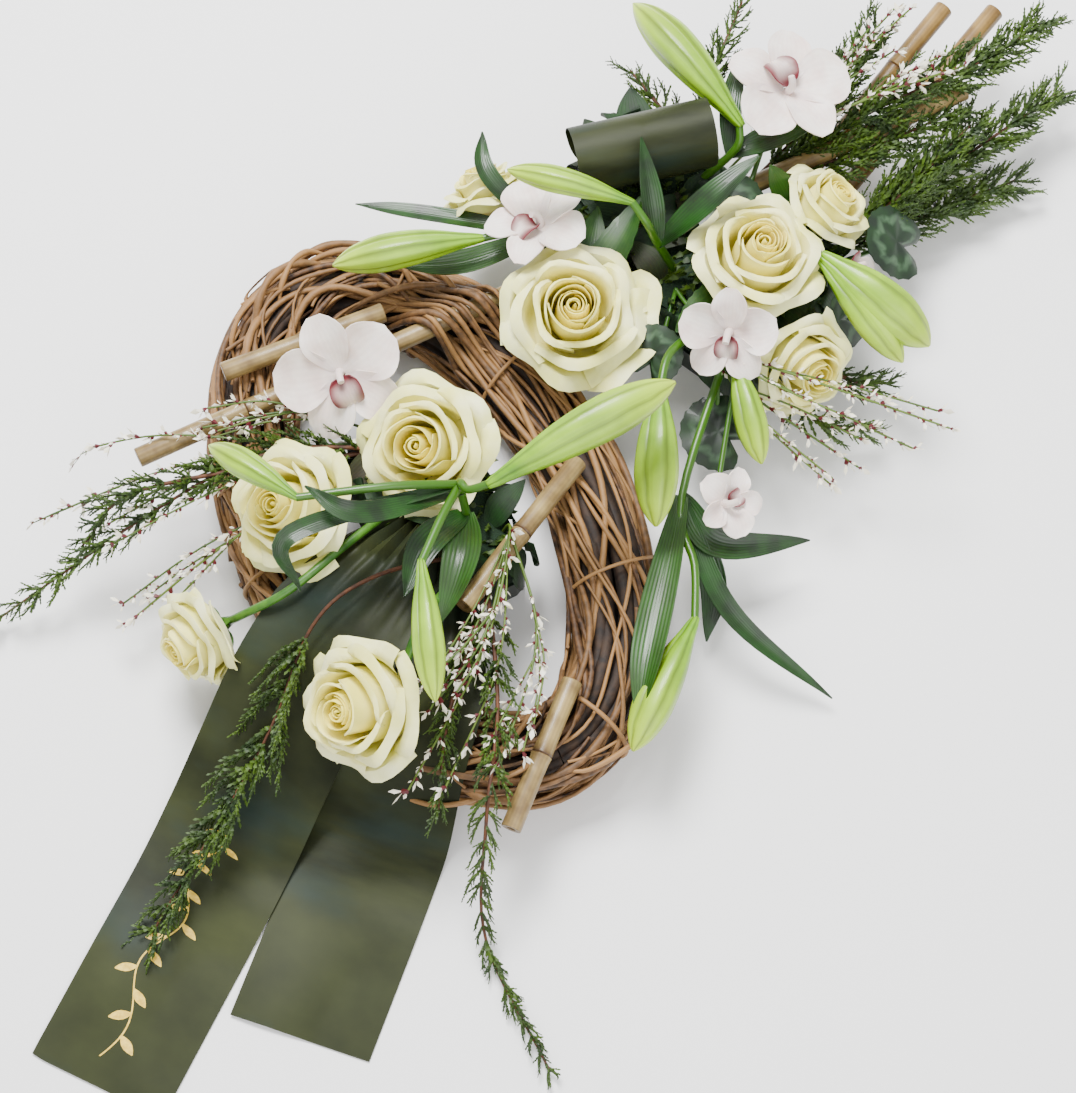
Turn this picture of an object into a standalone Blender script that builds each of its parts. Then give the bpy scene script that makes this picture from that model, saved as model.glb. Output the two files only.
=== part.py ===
"""Grave arrangement: an oval vine wreath with cut flowers, greenery, bamboo and ribbon.

Two blocks of wet floral foam stand in plastic trays, one inside the wreath and one at
its head. Every stem stands in a plain hole in the foam. The wreath lies flat, bamboo
sticks lie on it, and two ribbon tails run from the middle down to the surface.

Lengths below are in millimetres. Each mesh is written in metres, by MM.
The layout frame has its origin near the middle of the wreath, +Y towards the head of
the arrangement and +Z up. At the end the model is moved so that its origin is the
middle of its box, at the surface that it stands on.
"""

import math
import random
from dataclasses import dataclass

import bmesh
import bpy
from mathutils import Matrix, Vector
from mathutils.bvhtree import BVHTree

MM = 0.001
UP = Vector((0.0, 0.0, 1.0))

# Clearances
SEAT_GAP = 0.35
TEST_GAP = 0.4
GROUND_GAP = 0.4
WELD = 0.002

# Wreath: an oval ring of wound vine
RING_CENTRE = Vector((-12.0, 8.0, 0.0))
RING_LONG = 190.0
RING_SHORT = 108.0
RING_TURN = math.radians(-25.0)
RING_REACH = 28.5
RING_STEPS = 56
VINE_RADIUS = 3.4
VINE_COUNT = 9
VINE_DEPTH = 6.5
VINE_TURNS = 2
RING_HEIGHT = RING_REACH + 6.5 + GROUND_GAP

# Foam blocks and their trays
FOAM_TOP = 70.0
TRAY_WALL = 1.6
TRAY_FLOOR = 2.0
TRAY_HEIGHT = 26.0
CORNER_RADIUS = 10.0
ROOT_DEPTH = 34.0
ROOT_SPACING = 13.0

# Ribbon
RIBBON_WIDTH = 100.0
RIBBON_THICKNESS = 0.8
RIBBON_PINCH = 26.0

# Plants
STICK_RADIUS = 7.5
ROSE_STEM = 3.0
LILY_STEM = 3.2
ORCHID_STEM = 2.0
CYCLAMEN_STALK = 1.7
PETAL_THICKNESS = 1.2
LEAF_THICKNESS = 1.0
TWIG_RADIUS = 2.0
BROOM_RADIUS = 1.1

COLOURS = {
    "vine": ((0.30, 0.17, 0.09), 0.75),
    "foam": ((0.05, 0.16, 0.07), 0.95),
    "tray": ((0.02, 0.05, 0.03), 0.4),
    "bamboo": ((0.42, 0.33, 0.17), 0.55),
    "ribbon": ((0.035, 0.05, 0.035), 0.35),
    "rose_petal": ((0.86, 0.82, 0.58), 0.55),
    "rose_green": ((0.08, 0.20, 0.04), 0.6),
    "lily": ((0.42, 0.55, 0.12), 0.45),
    "orchid": ((0.82, 0.76, 0.74), 0.5),
    "cyclamen": ((0.03, 0.11, 0.04), 0.5),
    "juniper": ((0.07, 0.15, 0.03), 0.7),
    "broom": ((0.12, 0.20, 0.07), 0.6),
}


@dataclass
class Foam:
    """A foam block: its middle, its size along and across, and its turn about Z."""

    name: str
    middle: tuple
    length: float
    width: float
    turn: float

    def to_world(self, x, y, z=0.0):
        """Turn a point on the block into the layout frame."""
        return Matrix.Rotation(self.turn, 3, "Z") @ Vector((x, y, z)) + Vector((*self.middle, 0.0))

    def root_spots(self):
        """Give a grid of spots on the block's top where a stem may enter."""
        across = int((self.length / 2 - 7) // ROOT_SPACING)
        along = int((self.width / 2 - 7) // ROOT_SPACING)
        return [
            self.to_world(i * ROOT_SPACING, j * ROOT_SPACING)
            for i in range(-across, across + 1)
            for j in range(-along, along + 1)
        ]


FOAMS = {
    "head": Foam("head", (12.0, 282.0), 190.0, 106.0, 0.0),
    "centre": Foam("centre", (-8.0, 10.0), 122.0, 80.0, RING_TURN),
}


@dataclass
class Rose:
    """A rose: its heart, the way that it faces, its width, and where it is rooted."""

    name: str
    heart: tuple
    faces: tuple
    size: float
    foam: str
    root: tuple
    via: tuple = ()
    leaves: tuple = ()


ROSES = [
    Rose("rose_1", (-10, 169, 128), (0.15, -0.15, 1.0), 92, "head", (-12, 240), (),
         (((-30, 226, 96), (-54, 254, 92), 24), ((-16, 232, 98), (-30, 278, 106), 24))),
    Rose("rose_2", (-32, 20, 125), (-0.05, -0.45, 1.0), 90, "centre", (-20, 30)),
    Rose("rose_3", (-73, -76, 114), (-0.35, -0.55, 1.0), 86, "centre", (-45, 0)),
    Rose("rose_4", (-72, -182, 62), (-0.25, -1.0, 0.3), 66, "centre", (-30, -8),
         ((-20, -56, 96), (-30, -108, 96), (-50, -138, 76))),
    Rose("rose_5", (46, -158, 118), (-0.3, -0.75, 0.8), 88, "centre", (25, -10), ((46, -70, 102),)),
    Rose("rose_6", (68, 284, 140), (0.12, 0.1, 1.0), 84, "head", (58, 278), (),
         (((66, 246, 92), (52, 205, 104), 26),)),
    Rose("rose_7", (80, 364, 106), (0.3, 0.6, 0.8), 62, "head", (70, 320), (),
         (((62, 330, 82), (38, 352, 112), 22),)),
    Rose("rose_8", (146, 248, 84), (0.8, -0.25, 0.55), 70, "head", (94, 262)),
    Rose("rose_9", (-140, 224, 88), (-0.8, 0.4, 0.55), 60, "head", (-70, 256)),
]


@dataclass
class Lily:
    """A lily stem: buds as base, tip and width, each with its way from the hub, and leaves."""

    name: str
    foam: str
    root: tuple
    hub: tuple
    buds: tuple
    leaves: tuple = ()


LILIES = [
    Lily("lily_centre", "centre", (6, 14), (8, 13, 122), (
        (((18, 10, 134),), (28, 18, 142), (86, 147, 162), 32),
        (((16, -16, 134),), (26, -50, 142), (94, -120, 138), 23),
        (((-22, -22, 142),), (-64, -68, 146), (-140, -72, 132), 21)),
        ((((6, 8, 112), (-24, -52, 152), (-62, -62, 160)), 15),
         (((-40, -42, 146), (-50, -92, 152), (-28, -112, 122)), 13),
         (((8, 14, 84), (34, -20, 92), (50, -62, 84)), 26),
         (((6, 14, 78), (10, -30, 98), (22, -66, 96)), 22))),
    Lily("lily_1", "head", (-4, 322), (0, 345, 108), (
        ((), (-4, 356, 120), (-125, 387, 122), 32),),
        ((((-1, 340, 100), (-22, 368, 116), (-42, 408, 116)), 16),
         (((0, 342, 102), (16, 372, 106), (38, 412, 110)), 20))),
    Lily("lily_2", "head", (6, 258), (2, 246, 122), (
        (((-4, 243, 144),), (-18, 247, 152), (-104, 213, 152), 20),),
        ((((4, 250, 112), (-14, 262, 140), (-44, 288, 158)), 16),
         (((3, 248, 116), (20, 284, 150), (30, 326, 160)), 20))),
    Lily("lily_3", "head", (-62, 244), (-80, 222, 96), (
        (((-98, 200, 108),), (-108, 188, 108), (-180, 107, 104), 28),),
        ((((-82, 220, 96), (-136, 228, 112), (-160, 252, 112)), 14),
         (((-84, 218, 94), (-160, 186, 86), (-206, 162, 82)), 14),
         (((-82, 218, 92), (-114, 172, 88), (-150, 142, 84)), 18))),
    Lily("lily_6", "head", (44, 240), (60, 190, 112), (
        ((), (70, 162, 118), (128, 82, 100), 33),)),
    Lily("lily_7", "head", (84, 300), (92, 304, 110), (
        ((), (99, 306, 116), (196, 306, 92), 36),)),
    Lily("lily_8", "head", (84, 240), (88, 224, 92), (
        ((), (94, 218, 94), (154, 171, 80), 24),)),
    Lily("lily_10", "head", (70, 240), (122, 122, 66), (
        (((160, 86, 68),), (184, 56, 68), (207, -46, 66), 30),),
        ((((124, 118, 66), (162, 112, 60), (209, 158, 46)), 22),
         (((128, 114, 66), (196, 80, 50), (286, 84, 12)), 15),
         (((120, 122, 64), (170, 22, 82), (198, -30, 76)), 24),
         (((124, 120, 62), (170, 96, 34), (192, 62, 16)), 20))),
]


@dataclass
class Orchid:
    """An orchid bloom: its middle, the way that it faces, its width and its root."""

    name: str
    middle: tuple
    faces: tuple
    size: float
    foam: str
    root: tuple
    roll: float
    tepals: int = 5


ORCHIDS = [
    Orchid("orchid_1", (-100, 34, 112), (0.35, -0.45, 0.8), 92, "centre", (-48, 34), 0.4),
    Orchid("orchid_2", (-70, 210, 112), (-0.3, 0.1, 0.95), 76, "head", (-50, 236), 1.62),
    Orchid("orchid_3", (-8, 402, 92), (0.2, 0.15, 0.95), 92, "head", (16, 322), 2.2),
    Orchid("orchid_4", (112, 326, 88), (0.75, 0.3, 0.6), 60, "head", (96, 318), 0.9, 3),
    Orchid("orchid_5", (84, 224, 96), (0.2, -0.6, 0.75), 70, "head", (70, 254), 0.2),
    Orchid("orchid_6", (150, 136, 62), (0.5, -0.1, 0.85), 50, "head", (96, 240), 1.5),
]


@dataclass
class Cyclamen:
    """Cyclamen leaves from one root: each has a middle, its facing, a width and its stalk's way."""

    name: str
    root: tuple
    leaves: tuple


CYCLAMENS = [
    Cyclamen("cyclamen_1", (14, 308), (((18, 314, 82), (-0.1, 0.1, 1.0), 54, ()),)),
    Cyclamen("cyclamen_2", (96, 334), (((120, 362, 70), (0.5, 0.3, 0.8), 54, ()),
                                       ((122, 290, 62), (0.7, -0.1, 0.7), 50, ()))),
    Cyclamen("cyclamen_3", (52, 236), (((52, 192, 92), (0.1, -0.5, 0.85), 42, ()),
                                       ((114, 188, 48), (0.12, -0.15, 1.0), 54, ((76, 220, 80),)))),
]


@dataclass
class Stick:
    """A straight bamboo stick, given by its two ends and how far down it may settle."""

    name: str
    start: tuple
    end: tuple
    drop: float = 16.0


STICKS = [
    Stick("bamboo_long", (-192, -93, 80), (93, 507, 66)),
    Stick("bamboo_left", (-188, -6, 82), (-128, 100, 82)),
    Stick("bamboo_middle", (59, -43, 98), (50, 96, 73), 2.0),
    Stick("bamboo_foot", (176, -140, 74), (146, -34, 80)),
    Stick("bamboo_head_1", (41, 555, 64), (34, 318, 30), 0.0),
    Stick("bamboo_head_2", (72, 577, 60), (64, 318, 27), 0.0),
]


@dataclass
class Spray:
    """A spray of juniper or broom: the way of its main twig, side twigs' reach and width."""

    name: str
    ways: tuple
    reach: float
    seed: int


JUNIPERS = [
    Spray("juniper_head_1", (((14, 318, 40), (18, 352, 62), (58, 440, 84), (96, 520, 84), (110, 584, 70)),
                             ((18, 352, 62), (20, 420, 70), (16, 500, 78))), 40, 11),
    Spray("juniper_head_2", (((84, 318, 36), (90, 352, 44), (112, 440, 46), (132, 510, 48), (146, 562, 46)),
                             ((90, 352, 44), (122, 420, 32), (157, 491, 22))), 40, 12),
    Spray("juniper_top", (((-40, 318, 40), (-44, 345, 72), (-56, 395, 90), (-73, 452, 92)),
                          ((-44, 345, 72), (-84, 360, 66), (-112, 370, 62))), 30, 13),
    Spray("juniper_left", (((-46, 24, 40), (-62, 14, 82), (-118, -38, 92), (-158, -112, 74), (-212, -230, 16)),
                           ((-118, -38, 92), (-170, -110, 88), (-190, -160, 50)),), 34, 14),
    Spray("juniper_right", (((84, 280, 40), (118, 268, 44), (150, 236, 40), (197, 262, 28)),
                            ((118, 268, 44), (158, 280, 34), (182, 300, 26))), 28, 15),
    Spray("juniper_ribbon", (((38, -12, 40), (34, -24, 88), (4, -74, 106), (-6, -124, 102), (10, -200, 60),
                               (22, -336, 8)),), 36, 16),
    Spray("juniper_foot", (((40, -8, 40), (60, -24, 82), (116, -84, 92), (158, -150, 80), (196, -200, 10),
                            (283, -242, 6)),
                           ((60, -24, 82), (96, -104, 90), (130, -160, 72))), 28, 17),
]

BROOMS = [
    Spray("broom_left", (((-30, 26, 40), (-44, 32, 96), (-150, -70, 100), (-222, -170, 72)),
                         ((-44, 32, 96), (-110, -80, 76), (-142, -178, 42)),
                         ((-44, 32, 96), (-120, 0, 92), (-168, -50, 88))), 12, 21),
    Spray("broom_middle", (((44, 18, 40), (60, 20, 96), (100, -60, 100), (118, -164, 84)),
                           ((60, 20, 96), (112, -30, 96), (146, -112, 92)),
                           ((60, 20, 96), (84, -50, 104), (88, -104, 102))), 12, 22),
    Spray("broom_right", (((58, 254, 40), (72, 222, 90), (150, 246, 92), (248, 280, 84)),
                          ((72, 222, 90), (110, 210, 76), (204, 222, 50))), 12, 23),
    Spray("broom_head", (((-10, 336, 40), (2, 352, 88), (20, 440, 100), (28, 522, 92)),
                         ((2, 352, 88), (46, 430, 104), (86, 510, 90))), 12, 24),
]


def vector_list(points):
    """Give the points as vectors."""
    return [Vector(point) for point in points]


def smooth_path(points, steps):
    """Run a Catmull-Rom curve through the points, with steps spans between each two."""
    knots = vector_list(points)
    if len(knots) == 2:
        return [knots[0].lerp(knots[1], i / steps) for i in range(steps + 1)]
    ends = [2 * knots[0] - knots[1]] + knots + [2 * knots[-1] - knots[-2]]
    path = []
    for a, b, c, d in zip(ends, ends[1:], ends[2:], ends[3:]):
        for i in range(steps):
            t = i / steps
            path.append(0.5 * (2 * b + (c - a) * t + (2 * a - 5 * b + 4 * c - d) * t * t
                               + (3 * b - a - 3 * c + d) * t ** 3))
    return path + [knots[-1]]


def path_frames(path, closed=False):
    """Give a tangent, a side and an up vector at each point, carried along without twist."""
    count = len(path)
    tangents = []
    for i in range(count):
        if closed:
            step = path[(i + 1) % count] - path[i - 1]
        else:
            step = path[min(i + 1, count - 1)] - path[max(i - 1, 0)]
        tangents.append(step.normalized())
    side = tangents[0].cross(UP)
    if side.length < 0.2:
        side = Vector((1.0, 0.0, 0.0))
    frames = []
    for tangent in tangents:
        side = (side - tangent * side.dot(tangent)).normalized()
        frames.append((tangent, side, side.cross(tangent)))
    return frames


def signed_volume(points, faces):
    """Add up the signed volume under a closed mesh's faces."""
    total = 0.0
    for face in faces:
        for i in range(1, len(face) - 1):
            total += points[face[0]].dot(points[face[i]].cross(points[face[i + 1]]))
    return total / 6.0


def outward(points, faces):
    """Turn a closed mesh's faces outwards."""
    if signed_volume(points, faces) < 0:
        faces = [tuple(reversed(face)) for face in faces]
    return points, faces


def tube(path, radii, sides, closed=False, flats=1.0):
    """Make a closed tube along a path; odd corners lie at the share flats of the radius."""
    path = vector_list(path)
    points = []
    for (_, side, up), centre, radius in zip(path_frames(path, closed), path, radii):
        for k in range(sides):
            angle = 2 * math.pi * k / sides
            reach = radius * (flats if k % 2 else 1.0)
            points.append(centre + side * (reach * math.cos(angle)) + up * (reach * math.sin(angle)))
    faces = []
    for i in range(len(path) if closed else len(path) - 1):
        a = i * sides
        b = (i + 1) % len(path) * sides
        for k in range(sides):
            n = (k + 1) % sides
            faces.append((a + k, a + n, b + n, b + k))
    if not closed:
        faces.append(tuple(reversed(range(sides))))
        faces.append(tuple(range(len(points) - sides, len(points))))
    return outward(points, faces)


def even_tube(path, radius, sides, closed=False):
    """Make a tube of one radius."""
    return tube(path, [radius] * len(path), sides, closed)


def blade(rows, thickness):
    """Make a thin closed solid round a grid of points, split alike on both faces."""
    count, width = len(rows), len(rows[0])
    top, bottom = [], []
    for i in range(count):
        for j in range(width):
            along = rows[min(i + 1, count - 1)][j] - rows[max(i - 1, 0)][j]
            across = rows[i][min(j + 1, width - 1)] - rows[i][max(j - 1, 0)]
            normal = along.cross(across).normalized() * (thickness / 2)
            top.append(rows[i][j] + normal)
            bottom.append(rows[i][j] - normal)
    size = count * width
    faces = []
    for i in range(count - 1):
        for j in range(width - 1):
            a, b = i * width + j, (i + 1) * width + j
            for face in ((a, b, b + 1), (a, b + 1, a + 1)):
                faces.append(face)
                faces.append(tuple(size + corner for corner in reversed(face)))
    rim = [j for j in range(width)]
    rim += [i * width + width - 1 for i in range(1, count)]
    rim += [(count - 1) * width + j for j in range(width - 2, -1, -1)]
    rim += [i * width for i in range(count - 2, 0, -1)]
    for a, b in zip(rim, rim[1:] + rim[:1]):
        faces.append((a, b, size + b, size + a))
    return outward(top + bottom, faces)


def leaf(way, width, steps=2, blunt=1.2):
    """Make a lance-shaped leaf along a way, level across it."""
    path = smooth_path(way, steps)
    rows = []
    for i, ((tangent, side, _), centre) in enumerate(zip(path_frames(path), path)):
        share = i / (len(path) - 1)
        flat = tangent.cross(UP)
        across = flat.normalized() if flat.length > 0.2 else side
        half = max(blunt, width / 2 * math.sin(math.pi * min(1.0, 0.12 + 0.88 * share)) ** 0.8)
        rows.append([centre - across * half, centre + across * half])
    return blade(rows, LEAF_THICKNESS)


def turned(point, axis_to, origin, roll=0.0):
    """Turn a local point so that its +Z lies along axis_to, and move it to origin."""
    turn = axis_to.to_track_quat("Z", "Y").to_matrix() @ Matrix.Rotation(roll, 3, "Z")
    return turn @ Vector(point) + origin


def inflated(points, faces, distance):
    """Give the mesh's points pushed out along their normals."""
    normals = [Vector() for _ in points]
    for face in faces:
        normal = (points[face[1]] - points[face[0]]).cross(points[face[2]] - points[face[1]])
        if normal.length > 1e-9:
            normal.normalize()
        for corner in face:
            normals[corner] += normal
    return [p + n.normalized() * distance if n.length > 1e-9 else p for p, n in zip(points, normals)]


class Site:
    """What already stands in the arrangement, kept as trees for the clearance tests."""

    def __init__(self):
        self.trees = {}

    def add(self, name, solids):
        """Note the solids of a piece that has its place."""
        entries = self.trees.setdefault(name, [])
        for points, faces in solids:
            low = Vector([min(p[k] for p in points) for k in range(3)])
            high = Vector([max(p[k] for p in points) for k in range(3)])
            entries.append((BVHTree.FromPolygons(points, faces), low, high))

    def hits(self, solids, ignore=(), gap=TEST_GAP):
        """Count the solids that come nearer than gap to a placed piece or to the floor."""
        count = 0
        for points, faces in solids:
            grown = inflated(points, faces, gap)
            low = Vector([min(p[k] for p in grown) for k in range(3)])
            high = Vector([max(p[k] for p in grown) for k in range(3)])
            count += low.z < 0.0 or self.touched(grown, faces, low, high, ignore)
        return count

    def touched(self, points, faces, low, high, ignore):
        """Say whether one grown solid meets a placed piece, or lies inside it."""
        tree = None
        for name, entries in self.trees.items():
            if name in ignore:
                continue
            for other, other_low, other_high in entries:
                if any(low[k] > other_high[k] or high[k] < other_low[k] for k in range(3)):
                    continue
                tree = tree or BVHTree.FromPolygons(points, faces)
                if tree.overlap(other) or self.inside(points[0], other):
                    return True
        return False

    @staticmethod
    def inside(point, tree):
        """Say whether a point lies inside a closed tree, by the crossings of one ray."""
        crossings = 0
        start = point.copy()
        direction = Vector((0.013, 0.021, 1.0)).normalized()
        while crossings < 40:
            hit, _, _, _ = tree.ray_cast(start, direction)
            if hit is None:
                break
            crossings += 1
            start = hit + direction * 0.01
        return crossings % 2 == 1


SITE = Site()
CUTTERS = {"head": [], "centre": []}
USED_ROOTS = []
NUDGES = sorted(
    (Vector((x, y, z)) for x in (-10, -5, 0, 5, 10) for y in (-10, -5, 0, 5, 10)
     for z in (0, 5, 10, 16, 22)),
    key=lambda nudge: (nudge.length, nudge.z, nudge.x, nudge.y),
)


def material_for(name):
    """Make or find the material of a kind of piece."""
    found = bpy.data.materials.get(name)
    if found:
        return found
    colour, roughness = COLOURS[name]
    material = bpy.data.materials.new(name)
    material.use_nodes = True
    shader = material.node_tree.nodes["Principled BSDF"]
    shader.inputs["Base Color"].default_value = (*colour, 1.0)
    shader.inputs["Roughness"].default_value = roughness
    shader.inputs["Metallic"].default_value = 0.0
    material.diffuse_color = (*colour, 1.0)
    return material


def mesh_object(name, solid, collection=None):
    """Make an object in metres from one closed solid."""
    points, faces = solid
    mesh = bpy.data.meshes.new(name)
    mesh.from_pydata([p * MM for p in points], [], faces)
    mesh.update()
    found = bpy.data.objects.new(name, mesh)
    (collection or bpy.context.scene.collection).objects.link(found)
    return found


def joined_by(operation, base, solids):
    """Join or cut a base object with loose solids by one Boolean, and apply it."""
    collection = bpy.data.collections.new("operands")
    bpy.context.scene.collection.children.link(collection)
    for index, solid in enumerate(solids):
        mesh_object(f"operand_{index}", solid, collection)
    modifier = base.modifiers.new("join", "BOOLEAN")
    modifier.operation = operation
    modifier.operand_type = "COLLECTION"
    modifier.collection = collection
    modifier.solver = "MANIFOLD"
    graph = bpy.context.evaluated_depsgraph_get()
    graph.update()
    mesh = bpy.data.meshes.new_from_object(base.evaluated_get(graph))
    base.modifiers.clear()
    base.data = mesh
    for operand in list(collection.objects):
        bpy.data.objects.remove(operand)
    bpy.data.collections.remove(collection)


def shells_of(mesh):
    """Split a mesh's faces into shells; an edge where two shells touch joins neither."""
    left = set(mesh.faces)
    shells = []
    while left:
        waiting = [left.pop()]
        shell = []
        while waiting:
            face = waiting.pop()
            shell.append(face)
            for edge in face.edges:
                if len(edge.link_faces) == 2:
                    found = [other for other in edge.link_faces if other in left]
                    left.difference_update(found)
                    waiting.extend(found)
        shells.append(shell)
    return shells


def shell_volume(shell):
    """Add up the signed volume under the faces of one shell."""
    total = 0.0
    for face in shell:
        corners = [vertex.co for vertex in face.verts]
        for second, third in zip(corners[1:], corners[2:]):
            total += corners[0].dot(second.cross(third))
    return total / 6.0


def keep_main_body(target):
    """Weld a mesh and keep its largest shell, so that sealed hollows and scraps are gone."""
    mesh = bmesh.new()
    mesh.from_mesh(target.data)
    bmesh.ops.remove_doubles(mesh, verts=mesh.verts, dist=WELD * MM)
    shells = shells_of(mesh)
    main = max(shells, key=shell_volume)
    scraps = [face for shell in shells if shell is not main for face in shell]
    bmesh.ops.delete(mesh, geom=scraps, context="FACES")
    mesh.to_mesh(target.data)
    mesh.free()


def add_node(name, kind, solids):
    """Make a node from solids that grow together, and note it on the site."""
    node = mesh_object(name, solids[0])
    if len(solids) > 1:
        joined_by("UNION", node, solids[1:])
        keep_main_body(node)
    node.data.materials.clear()
    node.data.materials.append(material_for(kind))
    node.data.shade_smooth()
    node.data.set_sharp_from_angle(angle=math.radians(40))
    SITE.add(name, solids)
    return node


def rounded_outline(length, width, radius):
    """Give the corners of a rounded rectangle, anticlockwise."""
    outline = []
    for sign_x, sign_y, start in ((1, 1, 0), (-1, 1, 90), (-1, -1, 180), (1, -1, 270)):
        for step in range(3):
            angle = math.radians(start + 45 * step)
            outline.append((sign_x * (length / 2 - radius) + radius * math.cos(angle),
                            sign_y * (width / 2 - radius) + radius * math.sin(angle)))
    return outline


def foam_solid(foam):
    """Make a foam block before its holes are cut."""
    outline = rounded_outline(foam.length, foam.width, CORNER_RADIUS)
    bottom = TRAY_FLOOR + SEAT_GAP
    points = [foam.to_world(x, y, z) for z in (bottom, FOAM_TOP) for x, y in outline]
    count = len(outline)
    faces = [tuple(reversed(range(count))), tuple(range(count, 2 * count))]
    faces += [(i, (i + 1) % count, count + (i + 1) % count, count + i) for i in range(count)]
    return outward(points, faces)


def tray_solid(foam):
    """Make the shallow tray that a foam block stands in."""
    inner = rounded_outline(foam.length + 2 * SEAT_GAP, foam.width + 2 * SEAT_GAP, CORNER_RADIUS)
    outer = rounded_outline(foam.length + 2 * (SEAT_GAP + TRAY_WALL),
                            foam.width + 2 * (SEAT_GAP + TRAY_WALL), CORNER_RADIUS + TRAY_WALL)
    count = len(inner)
    loops = ((outer, 0.0), (outer, TRAY_HEIGHT), (inner, TRAY_HEIGHT), (inner, TRAY_FLOOR))
    points = [foam.to_world(x, y, z) for outline, z in loops for x, y in outline]
    faces = [tuple(reversed(range(count))), tuple(range(3 * count, 4 * count))]
    for level in range(3):
        for i in range(count):
            a, b = level * count + i, level * count + (i + 1) % count
            faces.append((a, b, b + count, a + count))
    return outward(points, faces)


def ring_point(turn, reach, lean):
    """Give a point off the wreath's centre line; lean 0 is outward and 90 degrees is up."""
    centre = Vector((RING_LONG * math.cos(turn), RING_SHORT * math.sin(turn), 0.0))
    out = Vector((RING_SHORT * math.cos(turn), RING_LONG * math.sin(turn), 0.0)).normalized()
    local = centre + out * (reach * math.cos(lean))
    place = Matrix.Rotation(RING_TURN, 3, "Z") @ local + RING_CENTRE
    return place + UP * (RING_HEIGHT + reach * math.sin(lean))


def wound_ring():
    """Make the wound body of the wreath: each ridge line is one vine, twisted round the oval."""
    draw = random.Random(5)
    lines = 2 * VINE_COUNT
    waves = [(draw.uniform(0, 6), draw.uniform(0, 6)) for _ in range(lines)]
    points = []
    for step in range(RING_STEPS):
        turn = 2 * math.pi * step / RING_STEPS
        for line in range(lines):
            slow, fast = waves[line]
            lean = 2 * math.pi * line / lines + VINE_TURNS * turn + 0.1 * math.sin(3 * turn + slow)
            swell = 1.6 * math.sin(4 * turn + slow) + 1.0 * math.sin(9 * turn + fast)
            reach = RING_REACH + swell + (3.4 if line % 2 else 3.4 - VINE_DEPTH)
            points.append(ring_point(turn, reach, lean))
    faces = []
    for step in range(RING_STEPS):
        ahead = (step + 1) % RING_STEPS
        shift = VINE_TURNS * lines if ahead == 0 else 0
        for line in range(lines):
            beside = (line + 1) % lines
            a, b = step * lines + line, step * lines + beside
            c, d = ahead * lines + (beside + shift) % lines, ahead * lines + (line + shift) % lines
            faces += [(a, b, c), (a, c, d)]
    return outward(points, faces)


def wreath_solids():
    """Give the wound ring and the loose vines and ends that stand out of it."""
    draw = random.Random(8)
    solids = [wound_ring()]
    for index in range(6):
        first = math.radians((150, 172, 196, 120, 20, 330)[index])
        span = math.radians((40, 34, 30, 26, 26, 24)[index])
        lean = draw.uniform(0.15, 1.2)
        swell = (14, 18, 12, 10, 12, 14)[index]
        path = [ring_point(first + span * s / 6, RING_REACH - 4 + swell * math.sin(math.pi * s / 6),
                           lean + 0.05 * s) for s in range(7)]
        solids.append(even_tube(path, VINE_RADIUS, 4))
    return solids


def stick_solid(stick, lift):
    """Make a bamboo stick with its swollen joints, raised by lift."""
    start, end = Vector(stick.start) + UP * lift, Vector(stick.end) + UP * lift
    length = (end - start).length
    spacing = length / max(1, round(length / 150.0))
    stations = [(0.0, 0.93)]
    joint = spacing * 0.5
    while joint < length - 12:
        stations += [(joint - 5, 0.93), (joint, 1.0), (joint + 5, 0.93)]
        joint += spacing
    stations.append((length, 0.93))
    path = [start.lerp(end, at / length) for at, _ in stations]
    return tube(path, [STICK_RADIUS * size for _, size in stations], 7)


def stem_way(root, knots, steps=2):
    """Give a stem's way: straight up out of its hole in the foam, then through the knots."""
    bottom = Vector((root.x, root.y, FOAM_TOP - ROOT_DEPTH))
    mouth = Vector((root.x, root.y, FOAM_TOP + 5))
    return [bottom] + smooth_path([mouth] + list(knots), steps)


def hole_for(solid):
    """Make the cutter of the plain hole that a stem stands in."""
    points, faces = solid
    return inflated(points, faces, 1.4 * SEAT_GAP), faces


def free_roots(foam_name, wanted, count=7):
    """Give the unused spots in the foam that lie nearest to the wanted one."""
    spots = FOAMS[foam_name].root_spots()
    target = Vector((*wanted, 0.0))
    spots.sort(key=lambda spot: ((spot - target).length, spot.x, spot.y))
    return [s for s in spots if all((s - used).length > ROOT_SPACING * 0.7 for used in USED_ROOTS)][:count]


def settle(name, foam_name, wanted, make):
    """Find the nearest place where a rooted piece is clear, and give its solids.

    make(root, nudge) gives the stems, which may pass through foam, and the other solids.
    """
    foams = tuple(f"foam_{key}" for key in FOAMS)
    best = None
    for nudge in NUDGES:
        for root in free_roots(foam_name, wanted):
            stems, bodies = make(root, nudge)
            hits = SITE.hits(bodies)
            if best is None or hits <= best[0]:
                hits += SITE.hits(stems, ignore=foams)
            if best is None or hits < best[0]:
                best = (hits, root, stems, bodies)
            if hits == 0:
                break
        if best[0] == 0:
            break
    _, root, stems, bodies = best
    USED_ROOTS.append(root)
    CUTTERS[foam_name].extend(hole_for(stem) for stem in stems)
    return stems, bodies


def rose_petal(arc, turn, profile, size, lean, columns):
    """Make one rose petal as a curved blade from its profile of radius and height."""
    radius, height = size / 2, size * 0.62
    rows = []
    spread = (0.9, 1.0, 0.6)
    for (reach, rise), share in zip(profile, spread):
        row = []
        for j in range(columns + 1):
            part = 2 * j / columns - 1
            angle = turn + part * arc / 2 * share
            droop = 0.07 * part * part * rise
            row.append(Vector((radius * (reach + lean * rise) * math.cos(angle),
                               radius * (reach + lean * rise) * math.sin(angle),
                               height * (rise - droop))))
        rows.append(row)
    return blade(rows, PETAL_THICKNESS)


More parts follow.
